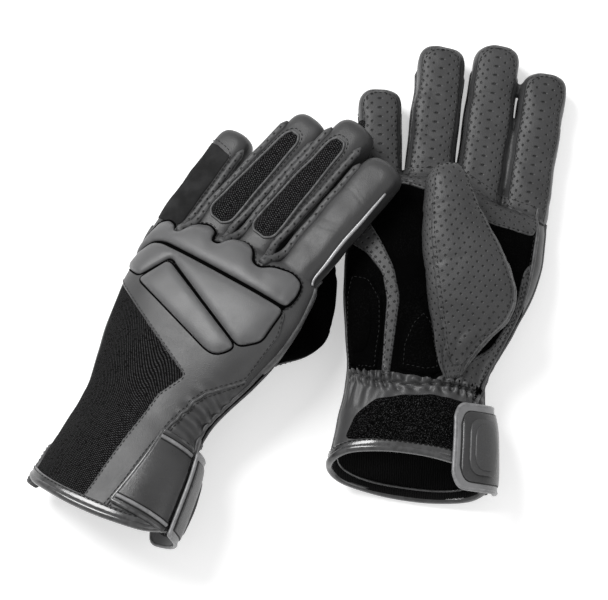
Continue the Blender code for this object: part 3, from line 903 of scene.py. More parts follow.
def hand_panel(skin, name, outline, face, finish, height, stands_for, puff, spread):
    """A panel sewn onto the hand; puff adds foam that swells up to this height, spread millimetres in."""
    uv, faces, depth = cut_sheet(rounded(wide(skin.side, outline)))
    base, outward = skin.on_hand(uv, face)
    tall = rolled(depth, 1.0, height) + foam(depth, puff, spread)
    points, faces = quilted(base, outward, faces, tall)
    return add_piece(skin.side, name, points, faces, finish, "hand", stands_for, np.tile(uv, (2, 1)))


def path_on(skin, line, face, out=0.0, step=1.2, corner=9.0):
    """A line in (u, v) laid on the hand's skin: places and normals."""
    uv = even(rounded(wide(skin.side, line), corner, closed=False), step, closed=False)
    places, outward = skin.on_hand(uv, face)
    return places + outward * out, outward


def tube_rings(places, ahead, outward, radius, sides, flat=1.0):
    """Rings of a cord along a path; flat squeezes its height."""
    ahead = unit(ahead)
    across = unit(np.cross(ahead, outward))
    up = np.cross(across, ahead)
    turn = np.linspace(0, math.tau, sides + 1)[:-1]
    return [
        p + r * (np.outer(np.cos(turn), a) + flat * np.outer(np.sin(turn), o))
        for p, a, o, r in zip(places, across, up, np.broadcast_to(radius, len(places)))
    ]


def cord(places, outward, radius, sides=10, flat=1.0):
    """A round cord along a path, its ends closed."""
    return lofted(tube_rings(places, np.gradient(places, axis=0), outward, radius, sides, flat))


def closed_cord(rim, outward, radius, sides=8):
    """A cord round a closed loop."""
    rim = np.array(rim)
    for _ in range(2):
        rim = (np.roll(rim, 1, 0) + 2 * rim + np.roll(rim, -1, 0)) / 4
    ahead = np.roll(rim, -1, 0) - np.roll(rim, 1, 0)
    return lofted(tube_rings(rim, ahead, outward, radius, sides), caps=False, looped=True)


def cord_pattern(places, sides, radius):
    run = np.concatenate([[0], np.cumsum(np.linalg.norm(np.diff(places, axis=0), axis=1))])
    turn = np.linspace(0, math.tau, sides + 1)[:-1]
    return np.stack([np.tile(turn * radius, len(places)), np.repeat(run, sides)], 1)


def smoothed(path, times=2):
    path = np.array(path)
    for _ in range(times):
        path[1:-1] = (path[:-2] + 2 * path[1:-1] + path[2:]) / 4
    return path


def stitch_row(places, outward, length=1.9, gap=0.9, thick=0.2):
    """Short threads along a path: a list of (points, faces)."""
    steps = np.linalg.norm(np.diff(places, axis=0), axis=1)
    run = np.concatenate([[0], np.cumsum(steps)])
    made = []
    for start in np.arange(0.4, run[-1] - length, length + gap):
        at = np.linspace(start, start + length, 4)
        line = np.stack([np.interp(at, run, places[:, k]) for k in range(3)], 1)
        out = np.stack([np.interp(at, run, outward[:, k]) for k in range(3)], 1)
        lift = np.array([-0.15, 0.22, 0.22, -0.15])
        made.append(cord(line + out * lift[:, None], out, np.array([0.6, 1, 1, 0.6]) * thick, 5))
    return made


class Threads:
    """Collects the stitches of one glove by the body they ride on."""

    def __init__(self, side):
        self.side, self.rows = side, {}

    def sew(self, body, places, outward, **shape):
        self.rows.setdefault(body, []).extend(stitch_row(places, outward, **shape))

    def finish(self):
        for body, rows in self.rows.items():
            points, faces = join(rows)
            add_piece(self.side, f"{body}_stitching", points, faces, "thread", body)


def inset_line(outline, amount):
    """An outline moved inwards, for the row of stitches along a panel's edge."""
    edge = even(outline, 1.0)
    area = np.sum(edge[:, 0] * np.roll(edge[:, 1], -1) - np.roll(edge[:, 0], -1) * edge[:, 1])
    ahead = np.roll(edge, -1, 0) - np.roll(edge, 1, 0)
    ahead /= np.linalg.norm(ahead, axis=1)[:, None] + 1e-9
    inward = np.stack([-ahead[:, 1], ahead[:, 0]], 1) * math.copysign(1, area)
    line = edge + inward * amount
    return line[distance_to(line, edge) > 0.9 * abs(amount)]


# --- outlines in (u, v) on the unscaled hand ------------------------------------------------------------
MESH_EDGE = ((-60, 61), (-50, 56), (-18, 37.5), (15, 19), (5.5, 4), (0.5, -32), (-4.5, -80))
MESH_AREA = MESH_EDGE + ((-75, -80), (-75, 61))
SIDE_SEAM = ((29, -18), (38, 6), (49.5, 39), (52, 70), (52.5, 86), (52, 103))
PALM_AREA = SIDE_SEAM + ((54, 130), (-75, 130), (-75, -5), (28, -8))
PAD_GROOVE = ((-58, 69.7), (-43.2, 84.8), (-36.3, 86), (48.8, 75))
CHEVRON_GROOVE = ((-53, 66), (-39.5, 61.5), (-26.6, 77.7), (34.8, 44.8), (45.5, 52))
GUSSET_SEAM = ((10, -66), (15, -45), (20, -7), (27, 12), (36, 21), (47, 31))

# name, finish, face, height, foam, how far in the foam swells, the node it stands for, rows of stitches
PANELS = (
    ("back_frame", "leather", 1, 0.9, 0.0, 5, (), (1.3,), (
        (-60, 61), (-50, 56), (-18, 37.5), (15, 19), (5.5, 4), (0.5, -32), (-4.5, -67.5), (10, -67.5),
        (15, -45), (20, -7), (27, 12), (36, 21), (47, 31), (53, 60), (50, 74), (-44, 78), (-62, 74),
    )),
    ("knuckle_pad", "pad_leather", 1, 1.7, 1.4, 2.2, ("knuckle_pad",), (-1.7,), (
        (-59, 71), (-54, 82), (-47.5, 98), (-42, 101), (-37, 98), (-34, 94.5), (-30, 95.5), (-25, 104),
        (-17, 106), (-12, 102.5), (-9.5, 96), (-5, 95.5), (1, 101.5), (9, 103), (16, 99), (19.5, 92.5), (25, 91),
        (31, 94.5), (43, 95.5), (50, 92), (51, 85), (49, 75.9), (-36, 86.9), (-43.3, 85.5),
    )),
    ("back_pad_chevron", "pad_leather", 1, 1.7, 1.3, 2.2, ("back_pad_chevron",), (), (
        (-57, 68), (-43.5, 84.1), (-36.5, 85.1), (48.4, 74.1), (45.5, 53), (35.6, 45.2), (-26.5, 78.8),
        (-39.8, 62.7), (-53, 66.5),
    )),
    ("back_pad_inner", "pad_leather", 1, 1.7, 1.1, 2.2, ("back_pad_inner",), (), (
        (-38.7, 60.6), (-26.8, 76.6), (34.2, 44.2), (29.5, 38.5), (25, 36), (19.5, 37),
    )),
    ("outer_fold", "leather", 1, 1.0, 0.6, 3, (), (1.3,), (
        (-62, -67), (-44, -67.5), (-43, -54), (-47, -42), (-62, -36),
    )),
    ("palm_patch", "suede", -1, 0.5, 0.0, 5, ("palm_patch",), (), (
        (-38, 74), (-27, 58), (-18, 42), (-9, 34), (0, 50), (30, 58), (47, 60), (49, 80), (26, 92), (-5, 100),
        (-38, 98),
    )),
    ("palm_fingers", "perforated_leather", -1, 0.8, 0.0, 5, (), (1.2,), (
        (-56, 99), (-40, 104), (-25, 105), (-10, 101), (8, 92), (28, 85.5), (50, 83.5), (52, 90), (52, 104),
        (30, 109), (4, 122), (-25, 118), (-52, 110),
    )),
    ("palm_strip", "perforated_leather", -1, 0.8, 0.0, 5, (), (1.0,), (
        (-52, 66), (-42, 61), (-31, 49), (-26.5, 34), (-25.5, 15), (-24, -9), (-19.5, -9), (-19.5, 15),
        (-19.5, 36), (-25, 53), (-34, 68), (-44, 82), (-52, 86),
    )),
    ("palm_side", "perforated_leather", -1, 0.8, 0.0, 5, (), (1.2,), (
        (47, 62), (51, 68), (48.5, 39), (37, 6), (30, -9), (5, -8), (18, 2), (34, 16), (44, 36),
    )),
    ("heel_pad", "suede", -1, 0.8, 2.0, 4, ("heel_pad",), (1.6,), (
        (-43, -7), (-27, -7), (-26.5, 16), (-29, 34), (-37, 46), (-48, 48), (-50, 36), (-48, 10),
    )),
    ("heel_slider", "suede", -1, 2.9, 1.2, 3, (), (), (
        (-40, 2), (-33, 3), (-32, 18), (-34, 31), (-40, 38), (-43, 30), (-43, 12),
    )),
    ("thumb_base_pad", "suede", -1, 0.8, 1.6, 4, ("thumb_base_pad",), (3.4,), (
        (-16, -5), (-17, 10), (-13, 24), (-6, 33), (2, 26), (8, 6), (9, -3), (0, -6),
    )),
    ("loop_patch", "loop_fabric", -1, 1.1, 0.4, 3, ("loop_patch",), (), (
        (-39, -47), (-35, -33), (-26, -23.5), (-10, -19), (6, -16.5), (22, -17.5), (31, -22), (30, -48),
        (0, -47.5),
    )),
)


# --- parts of a glove ---------------------------------------------------------------------------------
def split_skin(skin):
    """The base skin, cut at the cuff's mouth and split into its panels and its fingers."""
    side = skin.side
    points = skin.points.copy()
    gap = points[:, 1] - mouth(hand_angle(side, points))
    points[np.abs(gap) < 0.45, 1] -= gap[np.abs(gap) < 0.45]
    faces = skin.corners
    centre = points[faces].mean(1)
    keep = (centre[:, 1] - mouth(hand_angle(side, centre))) > 0
    owner = nearest_digit(side, centre)
    degrees = hand_angle(side, centre)
    _, level, width, _ = hand_section(side, centre[:, 1])
    back = centre[:, 2] > level
    uv = centre[:, :2]
    hand = keep & (owner < 0)
    mesh = hand & back & inside(uv, wide(side, MESH_AREA))
    palm = hand & ~back & inside(uv, wide(side, PALM_AREA))
    cuff = hand & ~mesh & ~palm & (uv[:, 1] < -9)
    rest = hand & ~mesh & ~palm & ~cuff
    _, _, span, _ = hand_section(side, points[:, 1])
    pattern = np.stack([np.radians(hand_angle(side, points)) * span * 1.05, points[:, 1]], 1)
    regions = [
        ("cuff_back", mesh, "mesh_fabric", "hand"), ("palm_panel", palm, "suede", "hand"),
        ("cuff_front", cuff, "leather", "hand"), ("back_panel", rest, "leather", "hand"),
    ]
    # painted shade: the left glove's finger backs take a darker copy of the plain leather
    backs = "shaded_finger_leather" if side == "left" else "leather"
    regions += [(f"{digit}_back", keep & (owner == k), backs, digit) for k, digit in enumerate(DIGITS[side])]
    turned = skin.normals @ (PLACE[side][:3, :3] / MM).T
    for name, chosen, finish, body in regions:
        picked = faces[chosen]
        used, packed = np.unique(picked, return_inverse=True)
        packed = packed.reshape(picked.shape)
        kept = [tuple(int(i) for i in f) for f in packed]
        obj = add_piece(side, name, points[used], kept, finish, body, (name,), pattern[used], closed=False)
        obj.data.normals_split_custom_set_from_vertices([tuple(v) for v in turned[used]])


def build_panels(skin, threads):
    for name, finish, face, height, puff, spread, nodes, rows, outline in PANELS:
        if name == "outer_fold" and skin.side == "right":
            continue                                # only the left cuff's outer corner is folded
        hand_panel(skin, name, outline, face, finish, height, nodes, puff, spread)
        if finish == "pad_leather":
            # painted shade: a near-black cord round the edge of each pad, in the gap where shade falls
            places, outward = skin.on_hand(inset_line(rounded(wide(skin.side, outline)), -0.5), face)
            line, faces = closed_cord(places + outward * 0.5, outward, 0.75, 6)
            add_piece(skin.side, f"{name}_edge", line, faces, "groove_shade", "hand")
        for row in rows:
            line = inset_line(rounded(wide(skin.side, outline)), row)
            places, outward = skin.on_hand(even(line, 1.2), face)
            lift = height + foam(row, puff, spread) if row > 0 else 0.15
            threads.sew("hand", places + outward * lift, outward)


def side_cords(skin, threads):
    """Rolled seams along the hand, and near-black cords of painted shade in its sewn channels."""
    side = skin.side
    for name, line, face, radius in (
        ("side_seam", SIDE_SEAM, -1, 1.1), ("gusset_seam", GUSSET_SEAM, 1, 0.8),
    ):
        places, outward = path_on(skin, line, face, 0.2)
        places = smoothed(places)
        points, faces = cord(places, outward, radius)
        add_piece(side, name, points, faces, "leather", "hand")
        across = unit(np.cross(np.gradient(places, axis=0), outward))
        found, outward = skin.closest(places + across * 2.0)
        threads.sew("hand", found + outward * 0.15, outward)
    # painted shade: near-black cords fill the channels between the pads
    for name, line in (("groove_front_shade", PAD_GROOVE), ("groove_chevron_shade", CHEVRON_GROOVE)):
        places, outward = path_on(skin, line, 1, 0.1, corner=3.5)
        points, faces = cord(smoothed(places), outward, 0.8)
        add_piece(side, name, points, faces, "groove_shade", "hand")
    for name, turn in (("outer_edge", 176.0), ("thumb_edge", 4.0)):
        v = np.arange(-58, 96, 1.2)
        places, outward = skin.closest(hand_point(side, v, turn + 0 * v))
        points, faces = cord(smoothed(places, 4), outward, 1.2)
        add_piece(side, name, points, faces, "leather", "hand")


def round_off(distance, radius):
    """The share of its width that a strip with a round end keeps this far from the end."""
    return math.sqrt(max(0.02, 1 - max(0, 1 - distance / radius) ** 2)) if radius else 1


def finger_grid(skin, digit, y_from, y_to, middle, spread, height, taper=1.0, round_start=6.0, round_end=8.0):
    """A padded strip along a finger: spread degrees each side of its middle angle, its ends rounded."""
    _, _, _, half_width, _, _ = DIGITS[skin.side][digit]
    y = np.arange(y_from, y_to + 0.1, 1.3)
    y = np.concatenate([[y_from + 0.3], y[1:-1], [y_to - 0.3]])
    columns = np.sin(np.linspace(-90, 90, 25) * math.pi / 180)
    rows = []
    for station in y:
        share = (station - y_from) / (y_to - y_from)
        ends = round_off(station - y_from, round_start) * round_off(y_to - station, round_end)
        reach = spread * (1 + (taper - 1) * share) * ends
        to_edge = (1 - np.abs(columns)) * math.radians(reach)
        rows.append((station + 0 * columns, middle + columns * reach, to_edge))
    stations, degrees, depth = (np.concatenate([row[k] for row in rows]) for k in range(3))
    depth = np.minimum(depth * half_width, np.minimum(stations - y_from, y_to - stations) + 0.2)
    base, outward = skin.on_finger(digit, stations, degrees)
    edge = grid_edge(len(y), len(columns))
    points, faces = quilted(base, outward, grid_faces(len(y), len(columns)), rolled(depth, 0.9, height))
    arc = np.radians(degrees - middle) * half_width * 1.05
    return points, faces, np.tile(np.stack([arc, stations], 1), (2, 1)), base[edge], outward[edge]


def build_fingers(skin, threads):
    side = skin.side
    for digit, (_, _, _, half_width, _, length) in DIGITS[side].items():
        points, faces, pattern, rim, out = finger_grid(
            skin, digit, -12, length - 2.2, -90, 47, 0.9, 0.96, 0, 8)
        add_piece(side, f"{digit}_front", points, faces, "perforated_leather", digit,
                  (f"{digit}_front",), pattern)
        line, faces = closed_cord(rim + out * 0.15, out, 0.6, 6)
        add_piece(side, f"{digit}_front_seam", line, faces, "thread", digit)
        threads.sew(digit, *tucked(skin, digit, -6, length - 4.0, -90, 40, 0.95, 0.96))
        if digit in ("ring", "middle"):
            points, faces, pattern, rim, out = finger_grid(
                skin, digit, -3, 0.82 * length, 90, 32, 0.35, 0.42, 7, 5)
            add_piece(side, f"{digit}_mesh_insert", points, faces, "mesh_fabric", digit,
                      (f"{digit}_mesh_insert",), pattern)
            ring_points, ring_faces = closed_cord(rim + out * 0.3, out, 0.75)
            add_piece(side, f"{digit}_insert_edge", ring_points, ring_faces, "leather", digit)
            threads.sew(digit, *tucked(skin, digit, -5, 0.85 * length, 90, 41, 0.18, 0.5))
        if digit == "pinky":
            points, faces, pattern, rim, out = finger_grid(
                skin, digit, -5, 0.78 * length, 122, 62, 0.5, 0.95, 5, 4)
            add_piece(side, "pinky_stretch_panel", points, faces, "stretch_knit", digit,
                      ("pinky_stretch_panel",), pattern)
            threads.sew(digit, *tucked(skin, digit, -5, 0.82 * length, 122, 66, 0.2, 0.95))
            points, faces, pattern, *_ = finger_grid(
                skin, digit, 0.34 * length, 0.66 * length, -152, 30, 1.2, 1.0, 2, 2)
            add_piece(side, "pinky_grip", points, faces, "mesh_fabric", digit, (), pattern)
        if digit == "index":
            y = np.arange(-9, 0.8 * length, 1.3)
            degrees = 26 - 9 * np.exp(-((y + 8) / 14) ** 2)
            places, outward = skin.on_finger(digit, y, degrees)
            taper = 0.4 + 0.75 * np.sin(np.linspace(0.15, math.pi - 0.15, len(y))) ** 0.6
            points, faces = cord(smoothed(places + outward * 0.5, 4), outward, taper, flat=0.8)
            add_piece(side, "index_reflective_piping", points, faces, "reflective_piping", digit,
                      ("index_reflective_piping",))
    build_welts(skin)


def tucked(skin, digit, y_from, y_to, middle, spread, lift, taper=0.94):
    """A U-shaped line on a finger, open at the root: places and normals for a row of stitches."""
    half = np.linspace(0, 1, 70)
    reach = y_to - y_from
    station = y_from + reach * np.sin(half * math.pi / 2) ** 0.8
    share = (station - y_from) / reach
    tip = np.sqrt(np.maximum(1 - np.clip((share - 0.86) / 0.14, 0, 1) ** 2, 0))
    width = spread * (1 + (taper - 1) * share) * tip
    y = np.concatenate([station, station[::-1][1:]])
    degrees = np.concatenate([middle - width, (middle + width)[::-1][1:]])
    places, outward = skin.on_finger(digit, y, degrees)
    places = even(places, 1.2, closed=False)
    found, outward = skin.closest(places)
    return found + outward * lift, outward


def build_welts(skin):
    """Rolled perforated strips along the sides of the fingers, which turn round at the webs."""
    side = skin.side
    digits = list(DIGITS[side])
    for k, web in enumerate(WEBS[side][1:4]):
        crotch = np.array([web[0], web[1] - 9.0])
        for digit, angle in ((digits[k], 37.0), (digits[k + 1], 143.0)):
            length = DIGITS[side][digit][5]
            y = np.arange(0.86 * length, 4, -1.3)
            places, outward = skin.on_finger(digit, y, angle + 0 * y)
            turn, _ = skin.on_hand(even([crotch + (0, 2.5), crotch], 1.2, closed=False), 1)
            path = np.concatenate([places, even([places[-1], turn[-1]], 1.3, closed=False)[1:-1], turn[-1:]])
            base, outward = skin.closest(smoothed(path, 30))
            base, outward = smoothed(base, 12), smoothed(outward, 12)
            taper = np.clip(np.linspace(0.3, len(base) / 4, len(base)), 0.3, 1.0) * 2.3
            points, faces = cord(base + outward * 0.5, outward, taper, 12)
            pattern = cord_pattern(base, 12, 2.0)
            add_piece(side, f"{digit}_{'thumb' if angle < 90 else 'outer'}_welt", points, faces,
                      "perforated_leather", digit, (), pattern)


# y, centre x, half width, height of the top over the palm, depth of the underside below it
THUMB_LINE = np.array([
    (-32, -15.0, 4.0, 1.0, -6.0), (-24, -12.5, 8.0, 4.0, -5.0), (-14, -7.5, 13.5, 9.0, -4.0),
    (-4, -1.2, 20.8, 14.0, -2.0), (9, 1.5, 24.3, 18.5, 2.4), (22, 0.8, 23.6, 20.5, 3.2),
    (34, -0.4, 22.0, 21.6, 3.4), (46, -2.2, 19.6, 22.0, 3.4), (60, -3.5, 16.2, 22.0, 3.6),
    (75, -3.8, 12.8, 21.4, 4.0), (88, -3.2, 11.0, 20.6, 5.0),
], float)
THUMB_TIP = 13.0        # how long the rounded tip is
THUMBS = {              # root u, root v, lean, length, share of the full height, how late it widens
    "right": (21.0, 28.0, -14.5, 88.0, 1.0, 0.0),
    "left": (34.0, 53.0, -5.0, 72.0, 0.72, 12.0),
}


def thumb_frame(side):
    """Root of the thumb's middle line, its direction, and the direction across it."""
    u, v, lean = THUMBS[side][:3]
    lean = math.radians(lean)
    along = np.array([math.sin(lean), math.cos(lean), 0.0])
    across = np.array([math.cos(lean), -math.sin(lean), 0.0])
    return np.array([u, v, -BACK_LEVEL]), along, across


def thumb_point(side, y, degrees, out=0.0):
    """Points of the thumb's skin; 90 degrees looks away from the palm, 0 to the thumb side."""
    root, along, across = thumb_frame(side)
    length, tall, late = THUMBS[side][3:]
    middle, width, top, under = (cubic(y - late, THUMB_LINE[:, 0], THUMB_LINE[:, k]) for k in range(1, 5))
    top = top * tall
    over = np.clip((y - (length - THUMB_TIP)) / THUMB_TIP, 0, 1)
    k = np.maximum(1 - over**2.3, 0.0004) ** (1 / 2.3)
    x, z = ellipse(np.radians(degrees), 2.4)
    half, level = (top - under) / 2, (top + under) / 2
    lateral = middle + x * (width * k + out)
    height = level + z * (half * (0.2 + 0.8 * k) + out)
    return root + np.multiply.outer(y, along) + np.multiply.outer(lateral, across) - np.multiply.outer(
        height, (0.0, 0.0, 1.0))


def thumb_folds(y, degrees, base):
    """Creases of the thumb's skin and the gathers at its base."""
    out = 0.35 * waves(base, 9.0, 12)
    for at, size in ((62.0, 0.5), (57.5, 0.35), (30.0, 0.4)):
        out -= size * np.exp(-((y - at - 1.8 * np.sin(np.radians(degrees) * 2 + at)) / 1.3) ** 2)
    fan = np.exp(-((y + 14) / 13) ** 2)
    out += 0.9 * fan * np.cos(np.radians(degrees) * 9 + 1.5 * waves(base, 8.0, 13))
    return out


def build_thumb(side, threads):
    length, late = THUMBS[side][3], THUMBS[side][5]
    tip = length - THUMB_TIP
    y = np.concatenate([np.arange(late - 31, tip, 1.3), length - THUMB_TIP * (1 - np.linspace(0, 0.998, 16))])
    degrees = np.linspace(0, 360, 91)[:-1]
    rings = []
    for station in y:
        ring = thumb_point(side, station + 0 * degrees, degrees)
        away = thumb_point(side, station + 0 * degrees, degrees, 1.0) - ring
        rings.append(ring + away * thumb_folds(station, degrees, ring)[:, None])
    points, faces = lofted(rings)
    arc = np.tile(np.radians(degrees) * 18, len(y))
    pattern = np.stack([arc, np.repeat(y, len(degrees))], 1)
    # painted shade: the left thumb stall, which lies in shade under its hand, is made of near-black suede, where
    # the right one is perforated leather
    finish = "suede" if side == "left" else "perforated_leather"
    add_piece(side, "thumb_stall", points, faces, finish, "thumb", ("thumb_stall",), pattern)
    tree = BVHTree.FromPolygons([tuple(p) for p in points], faces)
    # the face panel, with a wall left free on the side of the fingers
    columns = np.linspace(-1, 1, 41)
    columns = np.sign(columns) * (1 - (1 - np.abs(columns)) ** 1.3)
    rounding = length - THUMB_TIP * (1 - np.linspace(0, 0.9, 9))
    stations = np.concatenate([np.arange(late - 25, tip, 1.3), rounding])
    root, along, across = thumb_frame(side)
    base, depth, flat = [], [], []
    for station in stations:
        width = cubic(station - late, THUMB_LINE[:, 0], THUMB_LINE[:, 2])
        over = max(0.0, (station - tip) / THUMB_TIP)
        shrink = max(0.05, 1 - over**2.3) ** (1 / 2.3)
        start = math.sqrt(max(0.03, 1 - max(0.0, (late - 17 - station) / 8.2) ** 2))
        middle = cubic(station - late, THUMB_LINE[:, 0], THUMB_LINE[:, 1])
        low, high = -width * shrink + 4.6 * shrink, width * shrink - 1.6 * shrink
        centre, half = (low + high) / 2, (high - low) / 2 * start
        for column in columns:
            lateral = middle + centre + half * column
            start_point = root + along * station + across * lateral + np.array([0, 0, -45.0])
            place = tree.ray_cast(Vector(start_point), Vector((0, 0, 1)))[0]
            if place is None:
                place = tree.find_nearest(Vector(start_point + np.array([0, 0, 28.0])))[0]
            base.append(place)
            depth.append(min((1 - abs(column)) * half, (station - stations[0]), (stations[-1] - station)))
            flat.append((lateral, station))
    base = np.array(base)
    count = len(columns)
    faces = [(a, d, c, b) for a, b, c, d in grid_faces(len(stations), count)]
    normals = sheet_normals(base, faces)
    if normals[len(normals) // 2, 2] > 0:
        normals = -normals
    points, faces = quilted(base, normals, faces, rolled(np.array(depth), 1.2, 1.0))
    pattern = np.tile(np.array(flat), (2, 1))
    add_piece(side, "thumb_face", points, faces, "perforated_leather", "thumb", (), pattern)
    inset = int(0.10 * count)
    line, out = (
        np.concatenate([grid[3:-2, inset], grid[-2, inset:-inset], grid[3:-2, -inset - 1][::-1]])
        for grid in (flat_grid.reshape(len(stations), count, 3) for flat_grid in (base, normals))
    )
    threads.sew("thumb", line + out * 1.0, out)


# --- cuff and strap -----------------------------------------------------------------------------------
def build_cuff(skin, threads):
    side = skin.side
    degrees = np.arange(0, 360, 2.5)
    wave = 0.6 * np.sin(np.radians(degrees) * 3 + 1) + 0.4 * np.sin(np.radians(degrees) * 7)
    rim = hand_point(side, mouth(degrees) + 0.8, degrees, -0.2)
    rim[:, 1] += wave * 0.5
    out = unit(rim - hand_point(side, mouth(degrees) + 0.8, degrees, -6.0))
    points, faces = closed_cord(rim, out, 2.1, 14)
    add_piece(side, "cuff_binding", points, faces, "binding_leather", "hand", ("cuff_binding",))
    rings = []
    for step, lift in ((0.5, 0.2), (1.0, 1.2), (3.0, 1.45), (5.0, 1.3), (6.0, 0.9), (6.3, -0.6)):
        places, outward = skin.closest(hand_point(side, mouth(degrees) + step, degrees))
        rings.append(places + outward * lift)
    inner = [hand_point(side, mouth(degrees) + step, degrees, -1.4) for step in (6.0, 1.0)]
    points, faces = lofted(rings + inner, caps=False, looped=True)
    add_piece(side, "cuff_trim", points, faces, "binding_leather", "hand")
    loop, outward = skin.closest(hand_point(side, mouth(degrees) + 4.9, degrees))
    loop, outward = np.concatenate([loop, loop[:1]]), np.concatenate([outward, outward[:1]])
    threads.sew("hand", loop + outward * 1.5, outward)
    rings = []
    stations = np.concatenate([[0.0], np.linspace(0.02, 1, 46)])
    for share in stations:
        v = mouth(degrees) + 0.5 + share * (76 - mouth(degrees))
        shut = max(0.02, 1 - max(0.0, (share - 0.86) / 0.14) ** 3)
        ring = hand_point(side, v, degrees, -2.6 - 0.5 * np.sin(share * 40 + np.radians(degrees) * 5))
        middle = np.stack(hand_section(side, v)[:2], 1)
        ring[:, 0] = middle[:, 0] + (ring[:, 0] - middle[:, 0]) * (0.4 + 0.6 * shut)
        ring[:, 2] = middle[:, 1] + (ring[:, 2] - middle[:, 1]) * shut
        rings.append(ring)
    outer = [ring + (ring - ring.mean(0)) * 0.012 for ring in rings]
    points, faces = lofted(outer[::-1] + rings, caps=False)
    add_piece(side, "lining", points, faces, "lining", "hand", ("lining",), closed=False)
    band = hand_point(side, mouth(degrees) + 5.0, degrees, -3.6)
    points, faces = closed_cord(band, out, 0.7, 10)
    add_piece(side, "inner_seam", points, faces, "binding_leather", "hand")


STRAP_FROM, STRAP_TO, STRAP_SLANT = -63.5, -16.5, 4.0    # v of its edges, and how far it climbs on the back


def strap_point(side, degrees, share, out):
    """Points of the strap round the cuff; share runs from its lower edge to its upper one."""
    v = STRAP_FROM + (STRAP_TO - STRAP_FROM) * share + STRAP_SLANT * np.sin(np.radians(degrees))
    return hand_point(side, v, degrees, out)


def strap_sheet(side, angles, cut_first, cut_last, low, high, margin=0.0, crown=0.0, columns=23, slant=0.0):
    """A closed band of the strap between two angles, low to high millimetres off the cuff."""
    top, bottom = [], []
    across = (1 - np.cos(np.linspace(0, math.pi, columns))) / 2
    for degrees in angles:
        a, b = 0.0, 1.0
        for end, use in ((angles[0], cut_first), (angles[-1], cut_last)):
            if use:
                t = min(1.0, abs(degrees - end) / 9.0)
                cut = 0.17 * (1 - math.sqrt(max(0.0, 1 - (1 - t) ** 2)))
                a, b = max(a, cut), min(b, 1 - cut)
        share = a + margin + (b - a - 2 * margin) * across
        bulge = crown * (1 - (2 * across - 1) ** 4)
        spot = degrees + slant * (1 - share) * (degrees - angles[-1]) / (angles[0] - angles[-1])
        base = strap_point(side, spot, share, high)
        away = strap_point(side, spot, share, high + 1.0) - base
        top.append(base + away * bulge[:, None])
        bottom.append(strap_point(side, spot, share, low))
    top, bottom = np.concatenate(top), np.concatenate(bottom)
    points, faces = shell(top, bottom, grid_faces(len(angles), columns))
    loop = grid_edge(len(angles), columns)
    return points, faces, (top[loop] + bottom[loop]) / 2, top[loop] - bottom[loop]


def strap_cord(side, name, angles, shares, height, radius, sides, finish):
    line = strap_point(side, angles, shares, height)
    points, faces = cord(line, strap_point(side, angles, shares, height + 1.0) - line, radius, sides)
    add_piece(side, name, points, faces, finish, "hand")


# name, finish, first and last angle, rows, height of the two faces, margin, crown, the node it stands for
STRAP_PLATES = (
    ("hook_patch", "hook_tape", -22, -58, 24, 2.3, 3.0, 0.11, 0.0, ("hook_patch",)),
    ("strap_badge", "badge_rubber", -22, -56, 26, 5.4, 7.0, 0.17, 0.3, ("strap_badge",)),
    ("strap_badge_face", "badge_rubber", -26, -52, 18, 6.6, 7.7, 0.23, 0.2, ()),
)


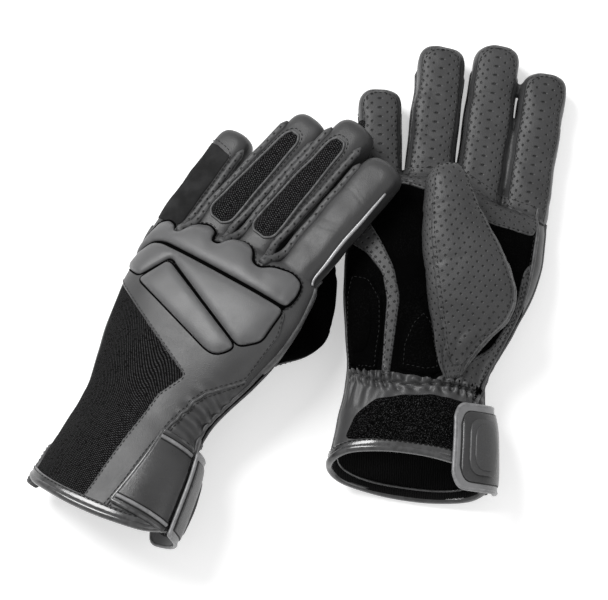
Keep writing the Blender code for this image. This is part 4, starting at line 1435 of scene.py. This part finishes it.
def build_strap(side):
    angles = np.linspace(60, 17, 33)
    points, faces, rim, out = strap_sheet(side, angles, False, False, 0.2, 2.6, 0.0, 0.6, slant=16)
    add_piece(side, "strap_base", points, faces, "tab_leather", "hand", ("strap_base",))
    points, faces = closed_cord(rim, out, 1.35, 10)
    add_piece(side, "strap_base_edge", points, faces, "binding_leather", "hand")
    # the pipings take the light grey edge finish: partly the binding's own light grey, partly painted highlight
    # standing for the shine on their rolled edges
    for name, share, first in (("upper", 0.925, 60), ("lower", 0.075, 74)):
        spots = np.linspace(first, 17.5, 66)
        strap_cord(side, f"strap_{name}_piping", spots, share + 0 * spots, 2.9, 1.15, 10, "light_edge")
        for edge, shift in (("outer", -0.032), ("inner", 0.032)):
            shares = share + shift + 0 * spots
            strap_cord(side, f"strap_{name}_{edge}_seam", spots, shares, 3.0, 0.35, 6, "thread")
    shares = np.linspace(0.0, 1.0, 40)
    strap_cord(side, "strap_base_seam", 60.5 + 16 * (1 - shares), shares, 1.6, 0.9, 8, "thread")
    points, faces, rim, out = strap_sheet(side, np.linspace(10.5, -66, 44), False, True, 3.4, 5.0)
    add_piece(side, "strap_tab", points, faces, "light_edge", "strap_fold", ("strap_tab",))
    points, faces = closed_cord(rim, out, 1.15, 10)
    add_piece(side, "strap_tab_edge", points, faces, "light_edge", "strap_fold")
    points, faces, rim, out = strap_sheet(side, np.linspace(8.5, -61.5, 44), False, True, 4.2, 5.7, 0.085, 0.5)
    add_piece(side, "strap_tab_panel", points, faces, "tab_leather", "strap_fold")
    points, faces = closed_cord(rim + (rim - rim.mean(0)) * 0.008, out, 0.55, 8)
    add_piece(side, "strap_tab_seam", points, faces, "thread", "strap_fold")
    for name, finish, first, last, rows, low, high, margin, crown, nodes in STRAP_PLATES:
        angles = np.linspace(first, last, rows)
        points, faces, _, _ = strap_sheet(side, angles, True, True, low, high, margin, crown)
        add_piece(side, name, points, faces, finish, "strap", nodes)


def build_glove(side):
    skin = Skin(side)
    threads = Threads(side)
    split_skin(skin)
    build_panels(skin, threads)
    side_cords(skin, threads)
    build_fingers(skin, threads)
    build_thumb(side, threads)
    build_cuff(skin, threads)
    build_strap(side)
    threads.finish()


# --- stage --------------------------------------------------------------------------------------------
def area_light(name, position, size, power):
    """A round lamp that looks at the middle of the floor."""
    light = bpy.data.lights.new(name, "AREA")
    light.shape = "DISK"
    light.size = size
    light.energy = power
    obj = bpy.data.objects.new(name, light)
    bpy.context.scene.collection.objects.link(obj)
    obj.location = position
    obj.rotation_euler = (-Vector(position)).to_track_quat("-Z", "Y").to_euler()


def build_stage():
    floor = mesh_object("floor", [(-3, -3, 0), (3, -3, 0), (3, 3, 0), (-3, 3, 0)], [(0, 1, 2, 3)])
    white = Shader("floor_white")
    white.set(Base_Color=grey(0.85, 1.0), Roughness=0.9, Emission_Color=grey(1.0, 1.0), Emission_Strength=0.42)
    floor.data.materials.append(white.done())
    world = bpy.data.worlds.new("studio")
    bpy.context.scene.world = world
    world.use_nodes = True
    world.node_tree.nodes["Background"].inputs[0].default_value = (1, 1, 1, 1)
    world.node_tree.nodes["Background"].inputs[1].default_value = 0.55
    area_light("key", (-0.75, 0.65, 1.2), 0.8, 22)
    area_light("fill", (0.9, -0.7, 1.2), 1.2, 4)
    bpy.context.scene.view_settings.view_transform = "Standard"


def build_camera():
    data = bpy.data.cameras.new("camera")
    data.lens = 127.8
    camera = bpy.data.objects.new("camera", data)
    bpy.context.scene.collection.objects.link(camera)
    aim = Vector((-0.0004, -0.0105, 0.030))
    elevation, distance = math.radians(75), 1.2
    camera.location = aim + Vector((0, -math.cos(elevation), math.sin(elevation))) * distance
    camera.rotation_euler = (aim - camera.location).to_track_quat("-Z", "Y").to_euler()
    bpy.context.scene.camera = camera


for side in GLOVES:
    build_glove(side)
build_stage()
build_camera()
